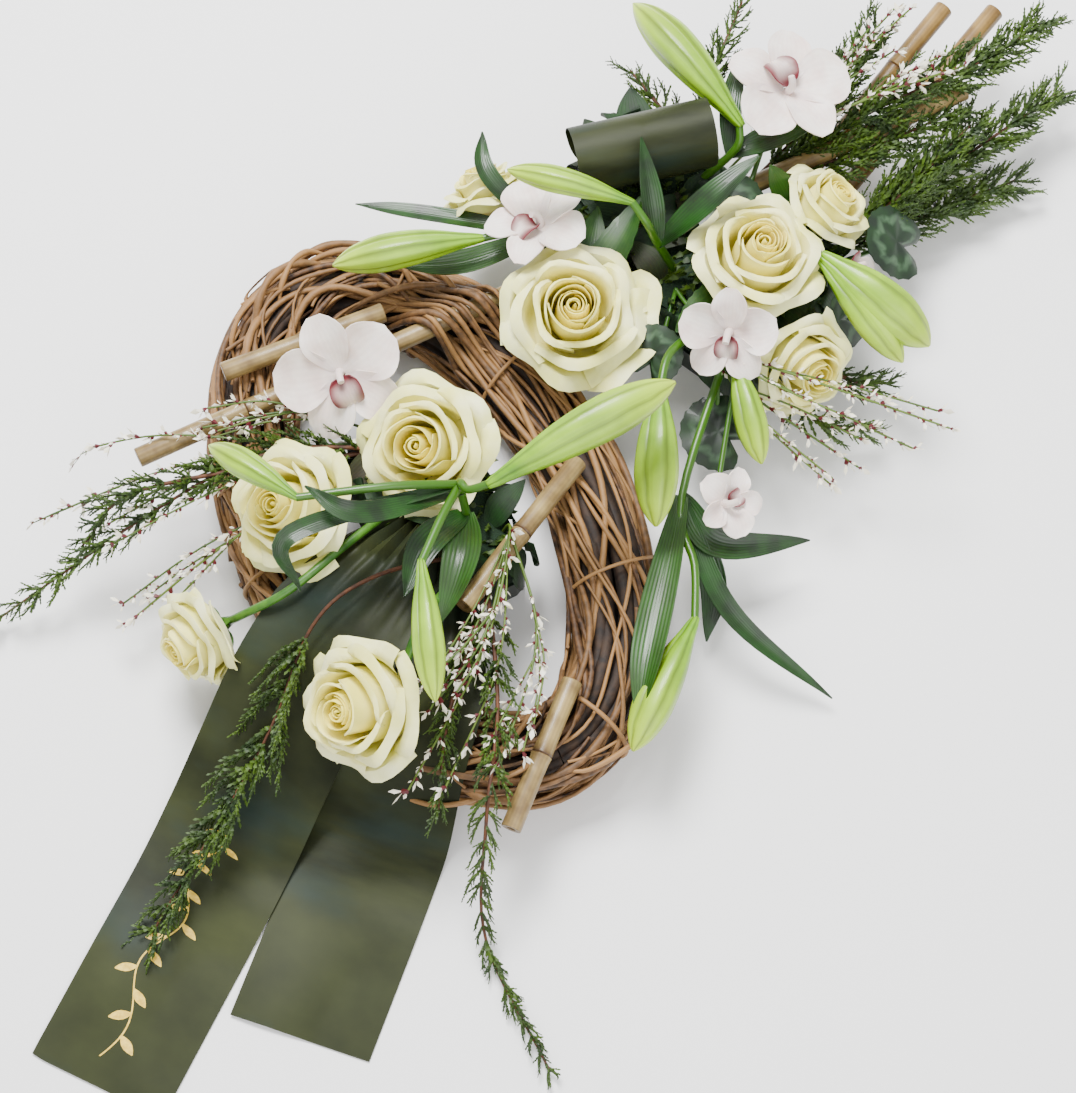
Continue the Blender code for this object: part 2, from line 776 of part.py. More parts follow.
INNER_PROFILE = ((0.15, 0.11), (0.60, 0.46), (0.54, 0.94))
OUTER_PROFILE = ((0.23, 0.04), (0.80, 0.34), (1.0, 0.66))
HEART_PROFILE = ((0.08, 0.12), (0.42, 0.52), (0.16, 0.98))


def rose_bloom(size, seed):
    """Make a rose's bloom with its base at the origin, facing +Z."""
    draw = random.Random(seed)
    radius, height = size / 2, size * 0.62
    solids = [tube([(0, 0, 0), (0, 0, height * 0.16)], [radius * 0.22, radius * 0.34], 6)]
    solids.append(tube([(0, 0, height * rise) for _, rise in HEART_PROFILE],
                       [radius * reach for reach, _ in HEART_PROFILE], 6))
    start = draw.uniform(0, 2)
    for k in range(3):
        solids.append(rose_petal(math.radians(112), start + k * 2 * math.pi / 3, INNER_PROFILE,
                                 size, draw.uniform(-0.03, 0.03), 2))
    for k in range(4):
        solids.append(rose_petal(math.radians(84), start + 0.6 + k * math.pi / 2, OUTER_PROFILE,
                                 size, draw.uniform(-0.04, 0.04), 2))
    return solids


def placed(solids, axis, origin, roll=0.0):
    """Turn and move solids from the local frame to the layout frame."""
    return [([turned(p, axis, origin, roll) for p in points], faces) for points, faces in solids]


def clear_leaf(corners, start, end, width):
    """Grow a leaf from the corner of a stem nearest to start, its tip turned until it is clear."""
    anchor = min(corners[4:-4], key=lambda p: (p - Vector(start)).length)
    best = None
    for nudge in NUDGES:
        for sense in (1, -1):
            tip = Vector(end) + nudge * sense
            blade_solid = leaf((anchor, anchor.lerp(tip, 0.5) + UP * 3, tip), width)
            hits = SITE.hits([blade_solid])
            if best is None or hits < best[0]:
                best = (hits, blade_solid)
            if hits == 0:
                return blade_solid
    return best[1]


def add_rose(rose, seed):
    """Settle a rose's bloom, and its calyx and stem, as two nodes."""
    axis = Vector(rose.faces).normalized()
    local = rose_bloom(rose.size, seed)
    depth = 0.56 * rose.size

    def make(root, nudge):
        base = Vector(rose.heart) + nudge - axis * depth
        neck = base - axis * (SEAT_GAP + 7)
        if rose.via:
            path = stem_way(root, [Vector(k) + nudge for k in rose.via] + [neck])
        elif (base - axis * 24).z > FOAM_TOP + 8:
            path = stem_way(root, [base - axis * 24, neck])
        else:
            path = [Vector((root.x, root.y, FOAM_TOP - ROOT_DEPTH)), neck]
        path.append(base - axis * SEAT_GAP)
        radii = [ROSE_STEM] * (len(path) - 2) + [ROSE_STEM + 2, rose.size * 0.11]
        return [tube(path, radii, 4)], placed(local, axis, base)

    stems, bloom = settle(rose.name, rose.foam, rose.root, make)
    add_node(rose.name, "rose_petal", bloom)
    leaves = [clear_leaf(stems[0][0], start, end, width) for start, end, width in rose.leaves]
    add_node(f"{rose.name}_stem", "rose_green", stems + leaves)


BUD_SHAPE = ((0.12, 0.36), (0.40, 0.84), (0.66, 1.0), (0.85, 0.74), (0.95, 0.36))


def bud_tube(path, base, tip, width):
    """Run a stalk's way on into a ribbed lily bud, as one tube."""
    base, tip = Vector(base), Vector(tip)
    sag = (tip - base).length * 0.05
    path = list(path) + [base]
    radii = [LILY_STEM] * len(path)
    for at, share in BUD_SHAPE:
        path.append(base.lerp(tip, at) + UP * (sag * math.sin(math.pi * at)))
        radii.append(width / 2 * share)
    path.append(tip)
    radii.append(0.8)
    return tube(path, radii, 6, flats=0.9)


def add_lily(lily):
    """Settle a lily stem with its buds and leaves as one node."""
    def make(root, nudge):
        hub = Vector(lily.hub) + nudge
        path = stem_way(root, [hub])
        stalks, leaves = [], []
        for way, base, tip, width in lily.buds:
            start = path if not stalks else [hub]
            knots = start + [Vector(k) + nudge for k in way]
            stalks.append(bud_tube(knots, Vector(base) + nudge, Vector(tip) + nudge, width))
        for way, width in lily.leaves:
            knots = [Vector(k) + nudge for k in way]
            knots[0] = min(path[1:], key=lambda p: (p - knots[0]).length)
            leaves.append(leaf(knots, width))
        return stalks[:1], stalks[1:] + leaves

    stems, bodies = settle(lily.name, lily.foam, lily.root, make)
    add_node(lily.name, "lily", stems + bodies)


def orchid_bloom(size, count):
    """Make an orchid's bloom with its middle at the origin, facing +Z."""
    length = size / 2
    solids = [tube([(0, 0, -5), (0, 0, 5)], [5.6, 6.4], 5)]
    for k in range(count):
        angle = math.pi / 2 + k * 2 * math.pi / 5
        width = length * (0.62 if k in (1, 4) else 0.5)
        out = Vector((math.cos(angle), math.sin(angle), 0.0))
        across = Vector((-math.sin(angle), math.cos(angle), 0.0))
        rows = []
        for share, wide in ((0.09, 0.13), (0.58, 1.0), (1.0, 0.3)):
            centre = out * (length * share) + UP * (4 * math.sin(math.pi * share) + 2 * share)
            half = across * (width / 2 * wide)
            rows.append([centre - half, centre + half])
        solids.append(blade(rows, PETAL_THICKNESS))
    lip = []
    for reach, rise, wide in ((3.0, 3.5, 2.2), (12, 9, 10), (24, 5, 5)):
        lip.append([Vector((-wide, -reach, rise)), Vector((wide, -reach, rise))])
    solids.append(blade(lip, PETAL_THICKNESS))
    solids.append(tube([(0, 1, 4), (0, 3, 10), (0, 0, 18)], [3.0, 3.0, 2.2], 4))
    return solids


def add_orchid(orchid):
    """Settle an orchid's bloom with its stem as one node."""
    axis = Vector(orchid.faces).normalized()
    local = orchid_bloom(orchid.size, orchid.tepals)

    def make(root, nudge):
        middle = Vector(orchid.middle) + nudge
        path = stem_way(root, [middle - axis * 18, middle - axis * 2])
        return [even_tube(path, ORCHID_STEM, 4)], placed(local, axis, middle, orchid.roll)

    stems, bloom = settle(orchid.name, orchid.foam, orchid.root, make)
    add_node(orchid.name, "orchid", stems + bloom)


def round_leaf(width):
    """Make a domed, heart-shaped leaf with its notch at -Y, facing +Z."""
    count = 10
    points, faces = [], []
    for level in (LEAF_THICKNESS / 2, -LEAF_THICKNESS / 2):
        points.append(Vector((0.0, 0.0, 2.0 + level)))
        for share, rise in ((0.58, 3.2), (1.0, -1.0)):
            for k in range(count):
                angle = 2 * math.pi * k / count - math.pi / 2
                notch = 0.5 if k == 0 else 0.0
                wave = 0.04 if k % 2 else -0.02
                reach = width / 2 * share * (1.0 - notch * share + wave * share)
                points.append(Vector((reach * math.cos(angle), reach * math.sin(angle), rise + level)))
    size = 1 + 2 * count
    for k in range(count):
        n = (k + 1) % count
        a, b, c, d = 1 + k, 1 + n, 1 + count + n, 1 + count + k
        for face in ((0, a, b), (a, d, c), (a, c, b)):
            faces.append(face)
            faces.append(tuple(size + corner for corner in reversed(face)))
        faces.append((d, size + d, size + c, c))
    return outward(points, faces)


def add_cyclamen(cyclamen):
    """Settle cyclamen leaves that share a root as one node."""
    def make(root, nudge):
        stems, blades = [], []
        for index, (middle, faces, width, via) in enumerate(cyclamen.leaves):
            axis = Vector(faces).normalized()
            middle = Vector(middle) + nudge
            knots = [Vector(knot) for knot in via] + [middle - axis * 14, middle + axis * 2]
            path = smooth_path([mouth] + knots, 2) if stems else stem_way(root, knots)
            mouth = path[1] if not stems else mouth
            stems.append(even_tube(path, CYCLAMEN_STALK, 4))
            blades += placed([round_leaf(width)], axis, middle, index)
        return stems, blades

    stems, bodies = settle(cyclamen.name, "head", cyclamen.root, make)
    add_node(cyclamen.name, "cyclamen", stems + bodies)


def spindle(start, end, radius, sides=3):
    """Make a slim pointed shoot, thickest a third of the way along."""
    tangent = (end - start).normalized()
    side = tangent.cross(UP)
    side = side.normalized() if side.length > 0.2 else Vector((1.0, 0.0, 0.0))
    up = side.cross(tangent)
    middle = start.lerp(end, 0.4)
    points = [start, end]
    for k in range(sides):
        angle = 2 * math.pi * k / sides + 0.5
        points.append(middle + side * (radius * math.cos(angle)) + up * (radius * math.sin(angle)))
    faces = []
    for k in range(sides):
        n = (k + 1) % sides
        faces += [(0, 2 + n, 2 + k), (1, 2 + k, 2 + n)]
    return outward(points, faces)


def juniper_shoots(path, spray, draw, first):
    """Give the scaly side shoots of one juniper twig, in pairs out to its tip."""
    shoots = []
    frames = path_frames(path)
    for i in range(first, len(path)):
        tangent, side, up = frames[i]
        share = (i - first) / max(1, len(path) - 1 - first)
        length = spray.reach * (1.0 - 0.4 * share) * draw.uniform(0.85, 1.15)
        for sign in (-1, 1):
            lean = (tangent * 0.85 + side * sign * 0.6 + up * draw.uniform(-0.1, 0.25)).normalized()
            start = path[i] + tangent * (sign * 3.0) - lean * 0.8
            shoots.append(spindle(start, start + lean * length, 2.8))
    return shoots


def broom_florets(path, spray, draw, first):
    """Give the small pea flowers and buds along one broom stem."""
    florets = []
    frames = path_frames(path)
    for i in range(first, len(path) - 1):
        _, side, up = frames[i]
        for sign in (-1, 1):
            lean = (side * sign + up * draw.uniform(-0.4, 0.9)).normalized()
            start = path[i].lerp(path[i + 1], draw.uniform(0.0, 0.8)) - lean * 0.5
            florets.append(spindle(start, start + lean * spray.reach * draw.uniform(0.7, 1.0), 2.4))
    return florets


def clear_way(way, radii_for, start, ignore):
    """Bend a twig's way to the nearest place where it is clear; start replaces its first knot."""
    best = None
    for nudge in NUDGES:
        for sense in (1, -1):
            move = nudge * sense
            first = start or Vector(way[0]) + Vector((move.x, move.y, 0.0))
            knots = [first] + [Vector(k) + move for k in way[1:]]
            path = smooth_path(knots, 2)
            if min(p.z for p in path) < 3.0:
                continue
            hits = SITE.hits([tube(path, radii_for(len(path)), 3)], ignore=ignore)
            if best is None or hits < best[0]:
                best = (hits, knots, path)
            if hits == 0:
                return best
    return best


def twig_radii(count):
    """Taper a juniper twig towards its tip."""
    return [TWIG_RADIUS + (1.1 - TWIG_RADIUS) * i / (count - 1) for i in range(count)]


def broom_radii(count):
    """Keep a broom stem the same all along."""
    return [BROOM_RADIUS] * count


def add_spray(spray, kind, radii_for, shoots_for):
    """Settle a spray's twigs one by one, and leave out the shoots that would cross something."""
    foams = tuple(f"foam_{key}" for key in FOAMS)
    draw = random.Random(spray.seed)
    solids, kept, start = [], [], None
    for number, way in enumerate(spray.ways):
        hits, knots, path = clear_way(way, radii_for, start, foams)
        if hits and number:
            continue
        solids.append(tube(path, radii_for(len(path)), 3))
        shoots = shoots_for(path, spray, draw, 1 if number else 3)
        kept += [shoot for shoot in shoots if not SITE.hits([shoot])]
        if number == 0:
            start = knots[1]
            key = "head" if path[0].y > FOAMS["head"].middle[1] - 60 else "centre"
            CUTTERS[key].append(hole_for(solids[0]))
    add_node(spray.name, kind, solids + kept)


def ribbon_strip(way, pinch, steps=2):
    """Make a ribbon strip; its rows are centre, width direction and width share."""
    centres = smooth_path([row[0] for row in way], steps)
    directions = smooth_path([row[1] for row in way], steps)
    shares = smooth_path([(row[2], 0, 0) for row in way], steps)
    rows = []
    for centre, direction, share in zip(centres, directions, shares):
        width = max(pinch, RIBBON_WIDTH * min(1.0, share.x))
        half = direction.normalized() * (width / 2)
        centre.z = max(centre.z, GROUND_GAP + RIBBON_THICKNESS)
        rows.append([centre - half, centre + half])
    return blade(rows, RIBBON_THICKNESS)


def tail_way(points, ends, lift):
    """Give a tail's rows: the knots over the wreath are raised by lift."""
    rows = []
    for (x, y, z, share), raised in points:
        rows.append((Vector((x, y, z + (lift if raised else 0.0))), Vector(ends), share))
    return rows


LEFT_TAIL = (((-10, 0, 44, 0.26), False), ((-8, -6, 76, 0.26), False), ((-2, -46, 86, 0.75), True),
             ((-2, -100, 84, 1.0), True), ((2, -150, 70, 1.0), True), ((8, -200, 34, 1.0), True),
             ((15, -246, 10, 1.0), False), ((25, -292, 3, 1.0), False), ((38, -356, 1.4, 1.0), False),
             ((55, -438, 1.2, 1.0), False))
RIGHT_TAIL = (((14, -14, 44, 0.26), False), ((18, -20, 72, 0.26), False), ((40, -56, 78, 0.75), True),
              ((64, -104, 76, 1.0), True), ((80, -146, 58, 1.0), True), ((94, -182, 12, 1.0), False),
              ((102, -206, 2.4, 1.0), False), ((114, -242, 1.3, 1.0), False), ((142, -329, 1.2, 1.0), False))


def add_tail(name, points, width_direction):
    """Lay a ribbon tail over the wreath at the lowest height that is clear."""
    lift = 0.0
    while lift < 30:
        solid = ribbon_strip(tail_way(points, width_direction, lift), RIBBON_PINCH)
        if SITE.hits([solid], ignore=("foam_centre",), gap=SEAT_GAP) == 0:
            break
        lift += 0.5
    slot = ribbon_strip(tail_way(points, width_direction, lift)[:3], RIBBON_PINCH)
    CUTTERS["centre"].append((inflated(*slot, SEAT_GAP), slot[1]))
    add_node(name, "ribbon", [solid])


LOOP_MIDDLE = Vector((-50.0, 298.0, 0.0))
LOOP_WIDTHWISE = Vector((0.636, 0.772, 0.05))
LOOP_OUTWARD = Vector((0.772, -0.636, 0.0))


def add_loop():
    """Make the rolled ribbon loop; its gathered ends stand in a slot in the foam."""
    side, width = LOOP_OUTWARD, LOOP_WIDTHWISE
    knots = ((-1.6, 44, 0.26), (-1.8, 74, 0.3), (-14, 96, 0.85), (-24, 122, 1.0), (-14, 144, 1.0),
             (4, 151, 1.0), (20, 141, 1.0), (24, 118, 1.0), (13, 96, 0.85), (1.8, 74, 0.3), (1.6, 44, 0.26))
    rows = [(LOOP_MIDDLE + side * across + UP * rise, width, share) for across, rise, share in knots]
    solid = ribbon_strip(rows, RIBBON_PINCH, 2)
    slot = []
    for rise in (43.0, 66.0, FOAM_TOP + 1.0):
        half = width.normalized() * (RIBBON_PINCH * 0.62)
        slot.append([LOOP_MIDDLE + UP * rise - half, LOOP_MIDDLE + UP * rise + half])
    CUTTERS["head"].append(blade(slot, 7.0))
    add_node("ribbon_loop", "ribbon", [solid])


def add_stick(stick):
    """Lay a stick at the lowest height that is clear, or stand it in the foam."""
    lift = -stick.drop
    while lift < 24:
        solid = stick_solid(stick, lift)
        if SITE.hits([solid], ignore=("foam_head",), gap=SEAT_GAP) == 0:
            break
        lift += 0.5
    if max(stick.start[1], stick.end[1]) > FOAMS["head"].middle[1]:
        CUTTERS["head"].append(hole_for(solid))
    add_node(stick.name, "bamboo", [solid])


def add_foam(key, foam):
    """Cut the stems' holes, joined into one cutter, out of a foam block."""
    holes = mesh_object("holes", CUTTERS[key][0])
    joined_by("UNION", holes, CUTTERS[key][1:])
    cutter = ([vertex.co / MM for vertex in holes.data.vertices],
              [tuple(polygon.vertices) for polygon in holes.data.polygons])
    bpy.data.objects.remove(holes)
    block = mesh_object(f"foam_{key}", foam_solid(foam))
    joined_by("DIFFERENCE", block, [cutter])
    keep_main_body(block)
    block.data.materials.clear()
    block.data.materials.append(material_for("foam"))


def clear_scene():
    """Remove what the start-up scene holds."""
    for found in list(bpy.data.objects):
        bpy.data.objects.remove(found)


def stand_at_origin():
    """Move every mesh so that the origin is the middle of the model's box, at its bottom."""
    meshes = [found.data for found in bpy.data.objects if found.type == "MESH"]
    corners = [vertex.co for mesh in meshes for vertex in mesh.vertices]
    low = Vector([min(c[k] for c in corners) for k in range(3)])
    high = Vector([max(c[k] for c in corners) for k in range(3)])
    shift = Matrix.Translation(-Vector(((low.x + high.x) / 2, (low.y + high.y) / 2, low.z)))
    for mesh in meshes:
        mesh.transform(shift)
        mesh.update()


def build():
    """Build the arrangement from the bottom up."""
    clear_scene()
    for key, foam in FOAMS.items():
        SITE.add(f"foam_{key}", [foam_solid(foam)])
        add_node(f"tray_{key}", "tray", [tray_solid(foam)])
    add_node("wreath", "vine", wreath_solids())
    for stick in STICKS:
        add_stick(stick)
    add_tail("ribbon_tail_right", RIGHT_TAIL, (0.943, 0.333, 0.0))
    add_tail("ribbon_tail_left", LEFT_TAIL, (0.975, 0.22, 0.0))
    add_loop()
    for index, rose in enumerate(ROSES):
        add_rose(rose, 100 + index)
    for lily in LILIES:
        add_lily(lily)
    for orchid in ORCHIDS:
        add_orchid(orchid)
    for cyclamen in CYCLAMENS:
        add_cyclamen(cyclamen)
    for spray in JUNIPERS:
        add_spray(spray, "juniper", twig_radii, juniper_shoots)
    for spray in BROOMS:
        add_spray(spray, "broom", broom_radii, broom_florets)
    for key, foam in FOAMS.items():
        add_foam(key, foam)
    stand_at_origin()


build()
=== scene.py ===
"""Looks of the grave arrangement: a vine wreath with cut flowers, greenery, bamboo and ribbon.

Lengths are in millimetres in the layout frame: its origin is near the middle of the
wreath, +Y points to the head and +Z up. Each mesh is written in metres in the row frame.
"""

import logging
import math
import random
from collections.abc import Callable
from dataclasses import dataclass, replace
from enum import Enum

import bpy
from mathutils import Matrix, Vector


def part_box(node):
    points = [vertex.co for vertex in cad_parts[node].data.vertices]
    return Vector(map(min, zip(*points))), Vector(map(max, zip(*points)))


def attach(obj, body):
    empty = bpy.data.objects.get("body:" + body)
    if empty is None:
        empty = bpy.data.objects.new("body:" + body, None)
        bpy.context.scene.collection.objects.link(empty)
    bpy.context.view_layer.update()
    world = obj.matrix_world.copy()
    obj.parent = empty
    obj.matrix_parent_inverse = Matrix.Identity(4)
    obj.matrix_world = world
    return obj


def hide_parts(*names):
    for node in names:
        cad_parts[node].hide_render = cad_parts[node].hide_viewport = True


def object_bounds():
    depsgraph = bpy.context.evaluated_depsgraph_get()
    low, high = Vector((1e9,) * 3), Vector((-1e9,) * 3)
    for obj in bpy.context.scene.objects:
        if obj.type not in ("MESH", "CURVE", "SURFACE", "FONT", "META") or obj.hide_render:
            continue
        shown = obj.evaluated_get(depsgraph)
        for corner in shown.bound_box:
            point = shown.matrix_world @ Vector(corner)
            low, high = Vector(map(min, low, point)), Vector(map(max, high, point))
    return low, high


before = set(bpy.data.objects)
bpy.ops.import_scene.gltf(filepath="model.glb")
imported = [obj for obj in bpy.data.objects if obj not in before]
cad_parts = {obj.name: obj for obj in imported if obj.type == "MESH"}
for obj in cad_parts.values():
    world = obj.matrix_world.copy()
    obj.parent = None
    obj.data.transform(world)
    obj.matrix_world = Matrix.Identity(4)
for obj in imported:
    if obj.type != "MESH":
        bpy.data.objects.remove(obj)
CAD_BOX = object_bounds()

logging.basicConfig(level=logging.INFO, format="%(message)s")
LOG = logging.getLogger("grave_arrangement")

Point = tuple[float, float, float]
Colour = tuple[float, float, float]
Faces = list[tuple[int, ...]]
Shade = float | Callable[[float, float], float]
Grid = list[list[Vector]]
Piece = bpy.types.Object
Node = bpy.types.Node
Socket = bpy.types.NodeSocket

MM = 0.001
ROUND = 2 * math.pi
UP = Vector((0.0, 0.0, 1.0))
TRAY_HEAD_MIDDLE = (12.0, 282.0)


def layout_shift() -> Vector:
    """Work out the way from the layout frame to the row frame, from the head tray's box.

    Returns:
        The shift in millimetres.
    """
    low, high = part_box("tray_head")
    middle = [(low[k] + high[k]) / 2 / MM for k in range(2)]
    return Vector((middle[0] - TRAY_HEAD_MIDDLE[0], middle[1] - TRAY_HEAD_MIDDLE[1], 0.0))


SHIFT = layout_shift()


def to_row(point: Vector) -> Vector:
    """Turn a layout point in millimetres into a row point in metres."""
    return (point + SHIFT) * MM


def linear(*screen: float) -> tuple[float, ...]:
    """Turn a colour seen on the screen into a linear one, with an alpha of 1."""
    return (*(((c + 0.055) / 1.055) ** 2.4 if c > 0.04045 else c / 12.92 for c in screen), 1.0)


def polar(angle: float, reach: float = 1.0, rise: float = 0.0) -> Vector:
    """Give the point at an angle and a distance round the origin, at a height."""
    return Vector((reach * math.cos(angle), reach * math.sin(angle), rise))


def shares(count: int) -> list[float]:
    """Share the way from 0 to 1 out evenly."""
    return [i / (count - 1) for i in range(count)]


def halves(columns: int) -> list[float]:
    """Share the way across from -1 to 1 out evenly."""
    return [2 * j / columns - 1 for j in range(columns + 1)]


def above(path: list[Vector], floor: float) -> list[Vector]:
    """Raise a path's lowest points to a height."""
    return [Vector((p.x, p.y, max(p.z, floor))) for p in path]


def girdle(sides: int, first: int = 0, second: int | None = None) -> Faces:
    """Join two rings of points by faces.

    Args:
        sides: The points in a ring.
        first: The first ring's first point.
        second: The second ring's, or None where it follows the first ring.

    Returns:
        The faces.
    """
    second = first + sides if second is None else second
    return [(first + k, first + (k + 1) % sides, second + (k + 1) % sides, second + k) for k in range(sides)]


def place_object(name: str, data: bpy.types.ID) -> Piece:
    """Make an object and link it into the scene."""
    made = bpy.data.objects.new(name, data)
    bpy.context.scene.collection.objects.link(made)
    return made


def smooth_path(points: list, steps: int) -> list[Vector]:
    """Run a Catmull-Rom curve through the points.

    Args:
        points: The knots.
        steps: Spans between each two knots.

    Returns:
        The curve's points.
    """
    knots = [Vector(point) for point in points]
    if len(knots) == 2:
        return [knots[0].lerp(knots[1], i / steps) for i in range(steps + 1)]
    ends = [2 * knots[0] - knots[1]] + knots + [2 * knots[-1] - knots[-2]]
    path = []
    for a, b, c, d in zip(ends, ends[1:], ends[2:], ends[3:]):
        for i in range(steps):
            t = i / steps
            path.append(0.5 * (2 * b + (c - a) * t + (2 * a - 5 * b + 4 * c - d) * t * t
                               + (3 * b - a - 3 * c + d) * t ** 3))
    return path + [knots[-1]]


def path_frames(path: list[Vector]) -> list[tuple[Vector, Vector, Vector]]:
    """Give a tangent, a side and an up vector at each point, carried along without twist."""
    count = len(path)
    side = None
    frames = []
    for i in range(count):
        tangent = (path[min(i + 1, count - 1)] - path[max(i - 1, 0)]).normalized()
        if side is None:
            side = tangent.cross(UP)
            side = side if side.length > 0.2 else Vector((1.0, 0.0, 0.0))
        side = (side - tangent * side.dot(tangent)).normalized()
        frames.append((tangent, side, side.cross(tangent)))
    return frames


def at_share(path: list[Vector], share: float) -> Vector:
    """Give the point at a share of the way along a path's points."""
    place = min(max(share, 0.0), 1.0) * (len(path) - 1)
    index = min(int(place), len(path) - 2)
    return path[index].lerp(path[index + 1], place - index)


def standing(axis: Vector, origin: Vector, roll: float = 0.0) -> Matrix:
    """Make the matrix that turns a local +Z along axis and moves it to origin."""
    turn = axis.to_track_quat("Z", "Y").to_matrix() @ Matrix.Rotation(roll, 3, "Z")
    return Matrix.Translation(origin) @ turn.to_4x4()


class Mesher:
    """Collects closed solids with a UV map and a tint for each point, and makes one mesh."""

    def __init__(self) -> None:
        """Start with nothing."""
        self.points: list[Vector] = []
        self.faces: Faces = []
        self.uvs: list[tuple[float, float]] = []
        self.tints: list[float] = []

    def add(self, points: list[Vector], faces: Faces, uvs: list[tuple[float, float]],
            tint: Shade) -> None:
        """Add one solid.

        Args:
            points: Its points, in layout millimetres.
            faces: Its faces, which are turned outwards here.
            uvs: One pair for each point.
            tint: A value from 0 to 1 that its material reads, or a function of the pair.
        """
        volume = 0.0
        for face in faces:
            for i in range(1, len(face) - 1):
                volume += points[face[0]].dot(points[face[i]].cross(points[face[i + 1]]))
        start = len(self.points)
        for face in faces:
            corners = reversed(face) if volume < 0 else face
            self.faces.append(tuple(start + corner for corner in corners))
        self.points += points
        self.uvs += uvs
        self.tints += [tint(*uv) for uv in uvs] if callable(tint) else [tint] * len(points)

    def sheet(self, rows: Grid, thickness: float, tint: Shade = 0.0,
              place: Matrix | None = None) -> None:
        """Add a thin closed solid round a grid of points.

        Args:
            rows: The grid, row by row from the base to the tip.
            thickness: Its thickness in millimetres.
            tint: Its tint.
            place: Where it stands, for a local grid.
        """
        if place is not None:
            rows = [[place @ point for point in row] for row in rows]
        count, width = len(rows), len(rows[0])
        top, bottom, uvs = [], [], []
        for i in range(count):
            for j in range(width):
                along = rows[min(i + 1, count - 1)][j] - rows[max(i - 1, 0)][j]
                across = rows[i][min(j + 1, width - 1)] - rows[i][max(j - 1, 0)]
                normal = along.cross(across).normalized() * (thickness / 2)
                top.append(rows[i][j] + normal)
                bottom.append(rows[i][j] - normal)
                uvs.append((j / (width - 1), i / (count - 1)))
        size = count * width
        faces = []
        for i in range(count - 1):
            for j in range(width - 1):
                a, b = i * width + j, (i + 1) * width + j
                faces.append((a, b, b + 1, a + 1))
                faces.append((size + a + 1, size + b + 1, size + b, size + a))
        rim = list(range(width)) + [i * width + width - 1 for i in range(1, count)]
        rim += [(count - 1) * width + j for j in range(width - 2, -1, -1)]
        rim += [i * width for i in range(count - 2, 0, -1)]
        faces += [(a, b, size + b, size + a) for a, b in zip(rim, rim[1:] + rim[:1])]
        self.add(top + bottom, faces, uvs + uvs, tint)

    def loft(self, rings: Grid, tint: Shade = 0.0) -> None:
        """Add a closed solid through rings of points, closed at both ends."""
        sides = len(rings[0])
        points = [point for ring in rings for point in ring]
        uvs = [(k / sides, share) for share in shares(len(rings)) for k in range(sides)]
        faces = [face for i in range(len(rings) - 1) for face in girdle(sides, i * sides)]
        for ring, end in ((rings[0], 0), (rings[-1], (len(rings) - 1) * sides)):
            points.append(sum(ring, Vector()) / sides)
            uvs.append((0.5, 1.0 if end else 0.0))
            hub = len(points) - 1
            for k in range(sides):
                n = (k + 1) % sides
                faces.append((hub, end + k, end + n) if end else (hub, n, k))
        self.add(points, faces, uvs, tint)

    def dress(self, name: str, finish: "Surface", *nodes: str, smooth: float = 60.0) -> Piece:
        """Make the piece in the row frame, and dress it.

        Args:
            name: The piece's name.
            finish: Its finish.
            nodes: The CAD nodes that it stands for.
            smooth: The angle in degrees up to which edges are shaded smooth.

        Returns:
            The piece, at the origin.
        """
        points = [to_row(point) for point in self.points]
        made = mesh_object(name, points, self.faces, self.uvs, self.tints, smooth)
        return dress(made, finish, *nodes)


def mesh_object(name: str, points: list[Vector], faces: Faces, uvs: list[tuple[float, float]],
                tints: list[float], smooth: float) -> Piece:
    """Make a mesh object with its UV map and its tint attribute, from points in metres."""
    mesh = bpy.data.meshes.new(name)
    mesh.from_pydata(points, [], faces)
    layer = mesh.uv_layers.new(name="UVMap")
    for polygon in mesh.polygons:
        corners = [uvs[index] for index in polygon.vertices]
        wraps = max(u for u, _ in corners) - min(u for u, _ in corners) > 0.6
        for loop, (u, v) in zip(polygon.loop_indices, corners):
            layer.data[loop].uv = (u + 1.0 if wraps and u < 0.4 else u, v)
    tint = mesh.attributes.new("tint", "FLOAT", "POINT")
    tint.data.foreach_set("value", tints)
    mesh.shade_smooth()
    mesh.set_sharp_from_angle(angle=math.radians(smooth))
    return place_object(name, mesh)


class Lines:
    """Collects polylines with a girth, a reach and a tint for the node trees to follow."""

    def __init__(self) -> None:
        """Start with nothing."""
        self.points: list[Vector] = []
        self.edges: list[tuple[int, int]] = []
        self.values: dict[str, list[float]] = {"girth": [], "reach": [], "tint": []}

    def add(self, path: list[Vector], girths: list[float], tint: float = 0.0,
            reaches: list[float] | None = None) -> None:
        """Add one polyline.

        Args:
            path: Its points, in layout millimetres.
            girths: The tube's radius at each point.
            tint: A value from 0 to 1 that its material reads.
            reaches: The length at each point of what grows there.
        """
        start = len(self.points)
        self.points += path
        self.edges += [(start + i, start + i + 1) for i in range(len(path) - 1)]
        self.values["girth"] += [girth * MM for girth in girths]
        self.values["reach"] += [reach * MM for reach in (reaches or girths)]
        self.values["tint"] += [tint] * len(path)

    def make(self, name: str) -> Piece:
        """Make the object that a node tree reads."""
        mesh = bpy.data.meshes.new(name)
        mesh.from_pydata([to_row(point) for point in self.points], self.edges, [])
        for key, values in self.values.items():
            mesh.attributes.new(key, "FLOAT", "POINT").data.foreach_set("value", values)
        return place_object(name, mesh)


